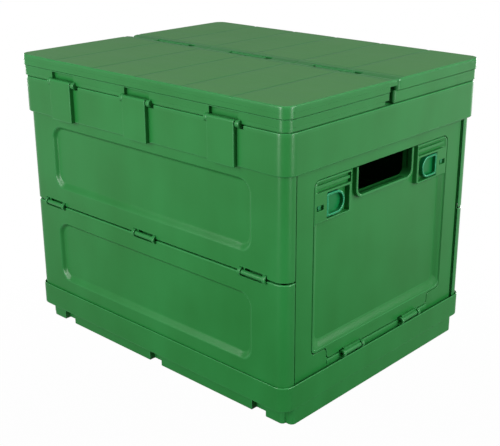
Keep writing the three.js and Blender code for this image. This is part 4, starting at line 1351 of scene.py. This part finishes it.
@dataclass
class LidFrontLeaf(LidLeaf):
    """The leaf that turns on the collar's hinge plates and carries the rear leaf at the seam."""

    notch_half: float = 20.3
    notch_top: float = 334.0
    notch_depth: float = 5.2
    notch_back: float = 2.4
    apron: tuple = (8.5, 313.5)
    plate_half: float = 18.7
    knob: float = 5.6
    knob_radius: float = 4.1
    knob_dome: float = 1.3
    knob_axis: tuple = (-173.3, 322.7)
    side_notch: tuple = (13.5, 341.4)
    side_step: tuple = (20.5, 327.0)
    joint_edge: float = 0.2

    def build(self) -> None:
        """Makes the leaf's one moulding."""
        solids = Solids()
        self.deck_plate(solids, -1)
        self.walls(solids)
        self.notch_boxes(solids)
        self.seam_side(solids, -1)
        self.seam_knuckles(solids, -1)
        self.knobs(solids)
        self.maker.piece("lid_front_leaf_moulding", solids, "lid_front", ["lid_front_leaf"])

    def walls(self, solids: Solids) -> None:
        """The band round the leaf, with the skirt below it in runs between the notches."""
        under = self.crate.lid_top - self.deck
        band, low, inset = self.crate.band_bottom, self.skirt_low, self.skirt_inset
        seam_end = self.seam - self.crate.gap
        notch_end, step_end = self.seam - self.side_notch[0], self.seam - self.side_step[0]
        solids.loft(swept(self.side_path(0, -1, seam_end, seam_end),
                          self.section(self.side_notch[1], under, 0, self.joint_edge)))
        solids.loft(swept(self.side_path(0, -1, notch_end, notch_end),
                          self.section(band, self.side_notch[1], 0, self.band_edge)))
        whole = self.side_path(inset, -1, notch_end, notch_end)
        section = self.section(self.notch_top, band, inset, self.joint_edge, self.groove)
        solids.loft(swept(whole, section))
        low_section = self.section(low, self.side_step[1], inset, self.band_edge)
        mid_section = self.section(self.side_step[1], self.notch_top, inset, self.joint_edge)
        front = -(self.crate.lid_half[1] - inset)
        places = three(self.hinge_place)
        for section, end in ((mid_section, notch_end), (low_section, step_end)):
            path = self.side_path(inset, -1, end, end)
            arc = CORNER_STEPS + 2
            solids.loft(swept(np.vstack([path[:arc], (places[0] - self.notch_half, front)]), section))
            solids.loft(swept(np.vstack([(places[2] + self.notch_half, front), path[arc:]]), section))
            for start, finish in zip(places[:-1], places[1:]):
                run = np.array([(start + self.notch_half, front), (finish - self.notch_half, front)])
                solids.loft(swept(run, section))

    def notch_boxes(self, solids: Solids) -> None:
        """The box behind each notch of the skirt, open to the front."""
        back = -(self.crate.lid_half[1] - self.notch_depth)
        start_y = -(self.crate.lid_half[1] - self.skirt_inset - self.wall / 2)
        for place in three(self.hinge_place):
            left, right = place - self.notch_half, place + self.notch_half
            low, high = self.skirt_low, self.crate.lid_top - self.deck
            wall, near = self.notch_back, back + self.crate.gap
            solids.block((left - wall, back, low), (right + wall, back + wall, high), self.crate.gap)
            solids.block((left - self.apron[0], near, self.apron[1]),
                         (right + self.apron[0], near + wall, low + wall), self.crate.gap)
            for start, end in ((left - wall, left), (right, right + wall)):
                solids.block((start, start_y, low), (end, back + self.crate.run, high), self.crate.gap)

    def knobs(self, solids: Solids) -> None:
        """The domed knuckles at both ends of each hinge plate."""
        for place in three(self.hinge_place):
            near = self.plate_half + self.crate.run
            for start in (place - near - self.knob, place + near):
                solids.bar((start, start + self.knob), self.knob_axis, self.knob_radius, self.knob_dome)


@dataclass
class LidRearLeaf(LidLeaf):
    """The leaf that folds onto the front one, with side walls that return along the seam."""

    seam_corner: float = 5.0
    skirt_corner: float = 3.5
    skirt_reach: float = 4.0
    return_length: float = 9.5

    def build(self) -> None:
        """Makes the leaf's one moulding."""
        solids = Solids()
        self.deck_plate(solids, 1)
        under = self.crate.lid_top - self.deck
        near = self.seam + self.crate.gap
        band = self.section(self.crate.band_bottom, under, 0, self.band_edge)
        skirt = self.section(self.skirt_low, self.crate.band_bottom, self.skirt_inset, self.band_edge,
                             self.groove)
        self.side(solids, band, 0, near, self.seam_corner)
        self.side(solids, skirt, self.skirt_inset, self.seam - self.skirt_reach, self.skirt_corner)
        self.seam_side(solids, 1)
        self.seam_knuckles(solids, 1)
        self.maker.piece("lid_rear_leaf_moulding", solids, "lid_rear", ["lid_rear_leaf"])

    def side(self, solids: Solids, section: np.ndarray, inset: float, start: float, corner: float) -> None:
        """A side wall of the leaf, whose ends turn a rounded corner and run in a little.

        Args:
            solids: where it goes.
            section: its cross-section.
            inset: how far in from the lid's outline it runs.
            start: where its ends lie across the lid.
            corner: radius of the corners at its ends.
        """
        around = self.side_path(inset, 1, start, start)[1:-1]
        right = self.turned_end(inset, start, corner, self.return_length)
        solids.loft(swept(np.vstack([right, around, right[::-1] * np.array([-1, 1])]), section))


@dataclass
class EndWall:
    """An end wall: a frame hung from the collar, a drop door in it and two sliding latches."""

    crate: Crate
    maker: Maker
    turn: Turn
    half: float = 155.0
    foot: float = 33.2
    pivot_x: float = 204.3
    barrel: float = 3.8
    barrel_room: float = 1.0
    lug_place: float = 110.0
    lug_room: float = 8.4
    frame_edge: float = 1.2
    side_edge: float = 2.4
    pivot_heights: tuple = (318.5, 300.5)
    door_half: float = 122.0
    door_bottom: float = 70.0
    door_top: float = 262.5
    door_corner: float = 8.0
    tab_half: float = 96.5
    tab_bottom: float = 56.0
    tab_corner: float = 6.0
    tab_root: float = 5.0
    door_gap: float = 0.8
    door_thickness: float = 8.3
    door_edge: float = 0.7
    field_depth: float = 5.3
    field_half: float = 121.0
    field_bottom: float = 73.0
    field_bevel: float = 9.0
    draft: float = 0.8
    hole_half: float = 49.5
    hole_bottom: float = 230.4
    hole_corner: float = 8.0
    lip: float = 3.2
    lip_depth: float = 13.4
    block_inner: float = 61.0
    block_bottom: float = 217.0
    block_corner: float = 3.0
    block_root: float = 2.0
    pocket: tuple = ((64.5, 218.5), (101.6, 246.8))
    pocket_floor: float = 2.0
    channel_ramp: float = 7.0
    window: tuple = ((107.2, 229.7), (118.2, 235.6))
    window_depth: float = 3.3
    tell_tale: tuple = ((110.6, 230.6), (115.0, 234.7))
    tell_tale_drop: float = 1.3
    groove: tuple = ((149.4, 40.0), (152.5, 290.0))
    groove_depth: float = 3.0
    rib: tuple = (49.6, 54.9)
    rib_proud: float = 0.9
    channel: tuple = ((62.5, 249.2), (119.0, 260.3))
    channel_depth: float = 4.0
    rail_half: float = 1.7
    rail_drop: float = 1.4
    hinge_place: float = 55.5
    hinge_half: float = 18.5
    ear: float = 4.0
    ear_radius: float = 4.2
    ear_notch: float = 1.8
    barrel_radius: float = 2.7
    axis: tuple = (211.75, 54.5)
    foot_height: float = 3.5
    pull_length: float = 29.0
    pull_height: float = 25.0
    pull_wall: float = 2.4
    pull_plate: float = 1.6
    pull_edge: float = 0.8
    pull_corner: float = 2.0
    bolt_half: float = 5.0
    bolt_thickness: float = 2.0

    def build(self) -> None:
        """Makes the frame, the door and both latches."""
        side = "right" if self.turn is Turn.AS_BUILT else "left"
        level = self.pivot_heights[0 if self.turn is Turn.AS_BUILT else 1]
        frame = Solids()
        self.frame_plate(frame, level)
        self.ears(frame)
        self.foot_ribs(frame)
        self.maker.piece(f"{side}_end_frame_moulding", frame, f"{side}_end", [f"{side}_end_frame"],
                         turn=self.turn)
        door = Solids()
        self.door_floor(door)
        self.door_face(door)
        self.lip_round_hole(door)
        self.latch_seats(door)
        self.door_knuckles(door)
        self.maker.piece(f"{side}_door_moulding", door, f"{side}_drop_door", [f"{side}_door"], turn=self.turn)
        marks = Solids()
        for place in (-1, 1):
            low, high = mirrored_box(*self.tell_tale, place, self.draft).min(0), self.tell_tale[1]
            face, far = self.crate.end_face, low[0] + high[0] - self.tell_tale[0][0]
            marks.block((face - self.window_depth - self.crate.gap, low[0], low[1]),
                        (face - self.tell_tale_drop, far, high[1]), self.crate.gap, "x")
            row = "near" if place * self.turn.value < 0 else "far"
            pull = Solids()
            self.latch(pull, place)
            self.maker.piece(f"{side}_latch_{row}_pull", pull, f"{side}_{row}_latch", [f"{side}_latch_{row}"],
                             "latch_plastic", self.turn)
        self.maker.piece(f"{side}_lock_tell_tales", marks, f"{side}_drop_door", [], "latch_plastic",
                         self.turn)

    def at_depth(self, start: float):
        """A placing function for outlines in the wall's plane, counting depth from a plane below its face."""
        return lambda across, up, depth: [self.crate.end_face - start - depth, across, up]

    def door_corners(self, grow: float) -> tuple:
        """The door's outline without its hand hole, grown by a gap, as corners and radii."""
        side, tab = self.door_half + grow, self.tab_half + grow
        low, foot, high = self.door_bottom - grow, self.tab_bottom - grow, self.door_top + grow
        corners = [(-tab, foot), (tab, foot), (tab, low), (side, low), (side, high), (-side, high),
                   (-side, low), (-tab, low)]
        round_corner = self.door_corner + grow
        radii = [self.tab_corner, self.tab_corner, self.tab_root, self.tab_corner, round_corner, round_corner,
                 self.tab_corner, self.tab_root]
        return corners, radii

    def frame_plate(self, solids: Solids, level: float) -> None:
        """The frame: a plate with the door's opening, gaps for the lugs and round bars along its top."""
        room, drop = self.lug_room, self.barrel + self.barrel_room
        corners = [(-self.half, self.foot), (self.half, self.foot), (self.half, level)]
        radii = [self.side_edge, self.side_edge, self.crate.gap]
        for place in (self.lug_place, -self.lug_place):
            corners += [(place + room, level), (place + room, level - drop), (place - room, level - drop),
                        (place - room, level)]
            radii += [self.crate.gap] * 4
        corners.append((-self.half, level))
        radii.append(self.crate.gap)
        opening = rounded_polygon(*self.door_corners(self.door_gap))
        thickness, edge = self.crate.end_thickness, self.frame_edge
        stacks = [Solids._stack(rounded_polygon(corners, radii), 1, edge, thickness, edge),
                  Solids._stack(opening, -1, edge / 2, thickness, edge)]
        stacks += [Solids._stack(mirrored_box(*self.groove, sense, self.crate.gap), -1, self.crate.gap / 2,
                                 self.groove_depth, 0) for sense in (-1, 1)]
        solids.stacked(stacks, 2, self.at_depth(0))
        ends = [-self.half, -self.lug_place - room, -self.lug_place + room, self.lug_place - room,
                self.lug_place + room, self.half]
        for start, end in zip(ends[::2], ends[1::2]):
            solids.bar((start, end), (self.pivot_x, level), self.barrel, self.crate.gap, "y")

    def foot_ribs(self, solids: Solids) -> None:
        """The raised rib under the door, in three runs beside and between the hinges."""
        clear = self.hinge_half + self.crate.run
        for start, end in ((-self.tab_half, -self.hinge_place - clear),
                           (-self.hinge_place + clear, self.hinge_place - clear),
                           (self.hinge_place + clear, self.tab_half)):
            solids.block((self.crate.end_face - self.rib_proud, start, self.rib[0]),
                         (self.crate.end_face + self.rib_proud, end, self.rib[1]), self.door_edge, "y")

    def ear_spans(self) -> list:
        """Where each of the four ears starts and ends across the wall, from left to right."""
        return [sorted([place + sense * (self.hinge_half - self.ear), place + sense * self.hinge_half])
                for place in (-self.hinge_place, self.hinge_place) for sense in (-1, 1)]

    def ears(self, solids: Solids) -> None:
        """The frame's ears for the door's pins, each on a foot that grows out of the frame."""
        foot, gap = self.axis[1] - self.ear_radius, self.crate.gap
        for near, far in self.ear_spans():
            solids.bar((near, far), self.axis, self.ear_radius, self.door_edge, "y")
            solids.block((self.crate.end_face - self.ear, near + gap, foot),
                         (self.axis[0], far - gap, self.axis[1]), gap, "y")

    def ear_notches(self) -> list:
        """Corners of the small notches in the door's foot that clear the ears, from left to right."""
        low, high, run = self.tab_bottom, self.tab_bottom + self.ear_notch, self.crate.run
        corners = []
        for near, far in self.ear_spans():
            start, end = near - run, far + run
            corners += [(start, low), (start, high), (end, high), (end, low)]
        return corners

    def door_floor(self, solids: Solids) -> None:
        """The door's back layer: its outline with the hand hole's notch, and the latch pockets' holes."""
        corners, radii = self.door_corners(0)
        hole = [(self.hole_half, self.door_top), (self.hole_half, self.hole_bottom),
                (-self.hole_half, self.hole_bottom), (-self.hole_half, self.door_top)]
        notches = self.ear_notches()
        corners = [corners[0], *notches, *corners[1:5], *hole, *corners[5:]]
        hole_radii = [self.draft, self.hole_corner, self.hole_corner, self.draft]
        radii = [radii[0], *[self.crate.gap] * len(notches), *radii[1:5], *hole_radii, *radii[5:]]
        thickness = self.door_thickness - self.field_depth
        pockets = tuple(mirrored_box(*self.pocket, sense, self.draft) for sense in (-1, 1))
        solids.plate(rounded_polygon(corners, radii), thickness, self.at_depth(self.field_depth), 0,
                     self.door_edge, holes=pockets)

    def face_corners(self, inward: float, slope: float) -> list:
        """Corners of the door's raised face, which runs round the field and over both latch blocks.

        Args:
            inward: how far its steep sides have come in.
            slope: how far its sloped sides have come in, on the field's foot and ends.

        Returns:
            The corners, anticlockwise.
        """
        field, low = self.field_half - slope, self.field_bottom + slope
        block, under = self.block_inner - inward, self.block_bottom - inward
        outer, notches = self.door_corners(0)[0], self.ear_notches()
        return [outer[0], *notches, *outer[1:5], (block, self.door_top), (block, under), (field, under),
                (field, low), (-field, low), (-field, under), (-block, under), (-block, self.door_top),
                *outer[5:]]

    def door_face(self, solids: Solids) -> None:
        """The raised face: a flat top whose edge is rounded and then falls to the field's floor.

        Every loop is a mix of the outline at the face and the outline at the floor, so steep sides get
        a little draft and the field's foot and ends get their wide slope.
        """
        outer_radii = self.door_corners(0)[1]
        inner_radii = [self.draft * 2, self.block_corner, self.block_root, self.door_corner]
        radii = [outer_radii[0], *[self.crate.gap] * len(self.ear_notches()), *outer_radii[1:5],
                 *inner_radii, *inner_radii[::-1], *outer_radii[5:]]
        top = rounded_polygon(self.face_corners(0, 0), radii)
        floor = rounded_polygon(self.face_corners(self.draft, self.field_bevel), radii)
        levels = [(offset(top, inset), down) for inset, down in fillet(self.door_edge)]
        for share in np.linspace(0, 1, CORNER_STEPS)[1:]:
            fall = self.door_edge + (self.field_depth - self.door_edge) * float(soft_step(share, 1.0))
            levels.append((top + (floor - top) * share, fall))
        outline = np.stack([np.column_stack([loop, np.full(len(loop), down)]) for loop, down in levels])
        stacks = [outline]
        for sense in (-1, 1):
            pocket = mirrored_box(*self.pocket, sense, self.draft)
            stacks.append(Solids._stack(pocket, -1, self.door_edge, self.field_depth, 0))
        through = len(stacks)
        for sense in (-1, 1):
            channel = Solids._stack(mirrored_box(*self.channel, sense, self.draft), -1, self.door_edge / 2,
                                    self.channel_depth, 0)
            outer = np.abs(channel[-1, :, 0]) > sum(end[0] for end in self.channel) / 2
            channel[-1, outer, 0] -= sense * self.channel_ramp
            stacks.append(channel)
            window = mirrored_box(*self.window, sense, self.draft)
            stacks.append(Solids._stack(window, -1, self.door_edge / 2, self.window_depth, 0))
        solids.stacked(stacks, through, self.at_depth(0))

    def lip_round_hole(self, solids: Solids) -> None:
        """The raised U round the hand hole: a rounded section carried down, across and up."""
        middle = self.hole_half + self.lip / 2
        foot = self.hole_bottom - self.lip / 2
        corners = [(middle, self.door_top), (middle, foot), (-middle, foot), (-middle, self.door_top)]
        bend = rounded_polygon(corners, [self.draft, *[self.hole_corner + self.lip / 2] * 2, self.draft])
        arc = CORNER_STEPS + 1
        path = np.vstack([corners[0], bend[arc:3 * arc], corners[3]])
        section = rounded_box((-self.lip / 2, 0), (self.lip / 2, self.lip_depth), self.draft, FILLET_STEPS)
        loops = swept(path, section)
        solids.loft(np.stack(self.at_depth(0)(loops[..., 0], loops[..., 1], loops[..., 2]), axis=-1))

    def latch_seats(self, solids: Solids) -> None:
        """The floor of each latch pocket and the rail in each channel above it."""
        face = self.crate.end_face
        back = face - self.door_thickness
        for sense in (-1, 1):
            ys = sorted([sense * self.pocket[0][0], sense * self.pocket[1][0]])
            solids.block((back, ys[0], self.pocket[0][1]),
                         (back + self.pocket_floor, ys[1], self.pocket[1][1]), self.crate.gap, "x")
            ys = sorted([sense * self.channel[0][0], sense * self.channel[1][0]])
            rail = (self.channel[0][1] + self.channel[1][1]) / 2
            solids.block((face - self.channel_depth - self.draft, ys[0], rail - self.rail_half),
                         (face - self.rail_drop, ys[1], rail + self.rail_half), self.crate.run, "y")

    def door_knuckles(self, solids: Solids) -> None:
        """The door's barrels between the frame's ears, each on a foot."""
        reach, gap = self.hinge_half - self.ear - self.crate.run, self.crate.gap
        for place in (-self.hinge_place, self.hinge_place):
            solids.bar((place - reach, place + reach), self.axis, self.barrel_radius, gap, "y")
            solids.block((self.crate.end_face - self.field_depth, place - reach, self.tab_bottom + gap),
                         (self.axis[0], place + reach, self.tab_bottom + self.foot_height), gap, "y")

    def latch(self, solids: Solids, sense: int) -> None:
        """A latch: a cup whose outline is a D with its flat outward, and the bolt behind the door's block.

        Args:
            solids: where it goes.
            sense: the end of the door that it locks.
        """
        middle = (self.pocket[0][1] + self.pocket[1][1]) / 2
        flat = self.pocket[1][0] - self.crate.gap
        floor = self.door_thickness - self.pocket_floor - self.crate.gap
        outline = self.pull_outline(sense, flat, middle, 0)
        hollow = self.pull_outline(sense, flat, middle, self.pull_wall)
        solids.plate(outline, floor, self.at_depth(0), self.pull_edge, self.crate.gap,
                     blinds=((hollow, floor - self.pull_plate),))
        back = self.crate.end_face - floor
        ys = sorted([sense * (flat - self.crate.gap * 2), sense * (self.door_half - self.crate.gap)])
        solids.block((back + self.crate.gap / 2, ys[0], middle - self.bolt_half),
                     (back + self.bolt_thickness, ys[1], middle + self.bolt_half), self.crate.gap, "y")

    def pull_outline(self, sense: int, flat: float, middle: float, inset: float) -> np.ndarray:
        """The D of a pull, moved in by an inset: a half circle inward and two small corners outward."""
        radius = self.pull_height / 2
        far, near = sorted([sense * flat, sense * (flat - self.pull_length)])
        wide, tight = radius - inset - self.crate.gap, self.pull_corner
        radii = [wide, tight, tight, wide] if sense > 0 else [tight, wide, wide, tight]
        return rounded_box((far + inset, middle - radius + inset), (near - inset, middle + radius - inset),
                           radii, ROUND_SIDES // 3)


def mirrored_box(low: tuple, high: tuple, sense: int, radius: float) -> np.ndarray:
    """A rounded rectangle at a distance from the middle, or its mirror image on the other side."""
    ends = sorted([sense * low[0], sense * high[0]])
    return rounded_box((ends[0], low[1]), (ends[1], high[1]), radius, FILLET_STEPS)


@dataclass
class Pins:
    """The steel pins keep their CAD shapes and get their finish."""

    maker: Maker

    def build(self) -> None:
        """Dresses every pin of the frame."""
        for name, node in self.maker.frame["nodes"].items():
            if "_pin_" not in name:
                continue
            node.data.materials.clear()
            node.data.materials.append(self.maker.finishes.materials["hinge_pin_steel"])
            LOG.info("%s: dressed as drawn steel", name)


@dataclass
class Studio:
    """The pale floor, the soft lights and the camera at the photograph's viewpoint."""

    middle_y: float
    floor_half: float = 6000.0
    floor_drop: float = 0.3
    eye: tuple = (780.93, -829.08, 553.80)
    ahead: tuple = (-0.64736, 0.68544, -0.33331)
    roll: float = 0.342
    focal_px: float = 959.28
    centre_px: tuple = (245.18, 210.39)
    image_px: tuple = (500, 446)
    sensor: float = 36.0
    world_strength: float = 0.12
    mirrored_share: float = 0.35
    floor_shadow_share: float = 0.015
    shadow_reach: float = 0.9
    floor_mirrored_shares: tuple = (0.12, 0.75)
    floor_mirrored_reach: tuple = (0.35, 1.2)
    # Middle of the painted shadow that the floor shows in reflections
    painted_shadow_centre: tuple = (0.45, -0.45)
    lamp_aim: tuple = (0, 0, 0.17)

    def build(self) -> None:
        """Builds the floor, lights, world and camera."""
        self.floor()
        self.world()
        self.lights()
        self.camera()
        bpy.context.scene.view_settings.view_transform = "Standard"

    def floor(self) -> None:
        """A wide floor that the camera sees as white with a faint shadow on it."""
        half, level = self.floor_half * MM, -self.floor_drop * MM
        mesh = bpy.data.meshes.new("floor")
        corners = [(x * half, y * half, level) for x, y in ((-1, -1), (1, -1), (1, 1), (-1, 1))]
        mesh.from_pydata(corners, [], [(0, 1, 2, 3)])
        made, tree = bare_material("pale floor")
        path = add_node(tree, "ShaderNodeLightPath").outputs
        where = add_node(tree, "ShaderNodeTexCoord").outputs["Object"]
        away = add_node(tree, "ShaderNodeVectorMath",
                        {"operation": "DISTANCE", 1: (*self.painted_shadow_centre, 0)},
                        {0: where}).outputs["Value"]
        # Seen in reflections the floor glows less near the crate: a painted shadow round it
        shine_with_painted_shadow = add_node(tree, "ShaderNodeMapRange",
                         {"From Min": self.floor_mirrored_reach[0], "From Max": self.floor_mirrored_reach[1],
                          "To Min": self.floor_mirrored_shares[0], "To Max": self.floor_mirrored_shares[1]},
                         {"Value": away}).outputs["Result"]
        through = combined(tree, "MAXIMUM", path["Is Camera Ray"], path["Is Transmission Ray"])
        strength = combined(tree, "MAXIMUM", through, shine_with_painted_shadow)
        seen = combined(tree, "MAXIMUM", through, path["Is Glossy Ray"])
        white = add_node(tree, "ShaderNodeMapRange",
                         {"From Min": self.shadow_reach / 2, "From Max": self.shadow_reach,
                          "To Min": 1 - self.floor_shadow_share}, {"Value": away}).outputs["Result"]
        share = combined(tree, "MULTIPLY", seen, white)
        matte = add_node(tree, "ShaderNodeBsdfDiffuse", {"Color": linear("#585858")}).outputs["BSDF"]
        glow = add_node(tree, "ShaderNodeEmission", {}, {"Strength": strength}).outputs["Emission"]
        mixed = add_node(tree, "ShaderNodeMixShader", {}, {0: share, 1: matte, 2: glow}).outputs["Shader"]
        add_node(tree, "ShaderNodeOutputMaterial", {}, {"Surface": mixed})
        mesh.materials.append(made)
        floor = bpy.data.objects.new("floor", mesh)
        bpy.context.scene.collection.objects.link(floor)

    def world(self) -> None:
        """A white surround, which lights the crate softly and mirrors in it a little more."""
        world = bpy.data.worlds.new("white surround")
        bpy.context.scene.world = world
        world.use_nodes = True
        tree = world.node_tree
        tree.nodes.clear()
        path = add_node(tree, "ShaderNodeLightPath").outputs
        through = combined(tree, "MAXIMUM", path["Is Camera Ray"], path["Is Transmission Ray"])
        mirrored = add_node(tree, "ShaderNodeMath", {"operation": "MULTIPLY", 1: self.mirrored_share},
                            {0: path["Is Glossy Ray"]}).outputs[0]
        plain = add_node(tree, "ShaderNodeMapRange", {"To Min": self.world_strength, "To Max": 1.0},
                         {"Value": through}).outputs["Result"]
        strength = combined(tree, "MAXIMUM", plain, mirrored)
        shade = add_node(tree, "ShaderNodeBackground", {"Color": (1, 1, 1, 1)}, {"Strength": strength})
        add_node(tree, "ShaderNodeOutputWorld", {}, {"Surface": shade.outputs["Background"]})

    def lights(self) -> None:
        """A wide light overhead, a strip and a softbox for either near side, and one for each far side."""
        for name, place, power, wide, tall in (("overhead softbox", (0.15, -0.3, 2.1), 7.5, 1.4, 1.4),
                                               ("left strip", (0.12, -1.45, 0.45), 10.5, 0.16, 0.9),
                                               ("right strip", (1.5, -0.04, 0.45), 10.0, 0.16, 0.9),
                                               ("left softbox", (-0.45, -1.5, 0.9), 13.0, 0.8, 1.0),
                                               ("right softbox", (1.6, 0.75, 1.2), 20.5, 1.0, 1.2),
                                               ("far left softbox", (-1.7, 0.2, 0.35), 13.0, 0.7, 0.6),
                                               ("rear softbox", (0.15, 1.6, 0.35), 12.0, 0.7, 0.6)):
            lamp = bpy.data.lights.new(name, "AREA")
            lamp.shape = "RECTANGLE"
            lamp.energy = power
            lamp.size = wide
            lamp.size_y = tall
            made = bpy.data.objects.new(name, lamp)
            made.location = place
            aim = Vector(self.lamp_aim) - Vector(place)
            made.rotation_euler = aim.to_track_quat("-Z", "Y").to_euler()
            made.visible_camera = False
            bpy.context.scene.collection.objects.link(made)

    def camera(self) -> None:
        """The camera that the photograph's straight edges give, with its small roll and shift."""
        data = bpy.data.cameras.new("camera")
        data.sensor_width = self.sensor
        data.lens = self.focal_px * self.sensor / self.image_px[0]
        data.shift_x = ((self.image_px[0] - 1) / 2 - self.centre_px[0]) / self.image_px[0]
        data.shift_y = (self.centre_px[1] - (self.image_px[1] - 1) / 2) / self.image_px[0]
        made = bpy.data.objects.new("camera", data)
        made.location = Vector((self.eye[0], self.eye[1] + self.middle_y, self.eye[2])) * MM
        turned = Vector(self.ahead).to_track_quat("-Z", "Y").to_matrix()
        made.rotation_euler = (turned @ Matrix.Rotation(-math.radians(self.roll), 3, "Z")).to_euler()
        bpy.context.scene.collection.objects.link(made)
        bpy.context.scene.camera = made


def main() -> None:
    """Builds the crate's looks round the frame, then the stage, lights and camera."""
    logging.basicConfig(level=logging.INFO)
    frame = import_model()
    crate = Crate()
    tray_low, tray_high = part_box("base_tray")
    maker = Maker(frame, Finishes(), (tray_low.y + tray_high.y) / 2 / MM)
    Studio(maker.middle_y).build()
    BaseTray(crate, maker).build()
    for turn in Turn:
        LongWall(crate, maker, turn).build()
        EndWall(crate, maker, turn).build()
    TopFrame(crate, maker).build()
    LidFrontLeaf(crate, maker).build()
    LidRearLeaf(crate, maker).build()
    Pins(maker).build()


if __name__ == "__main__":
    main()
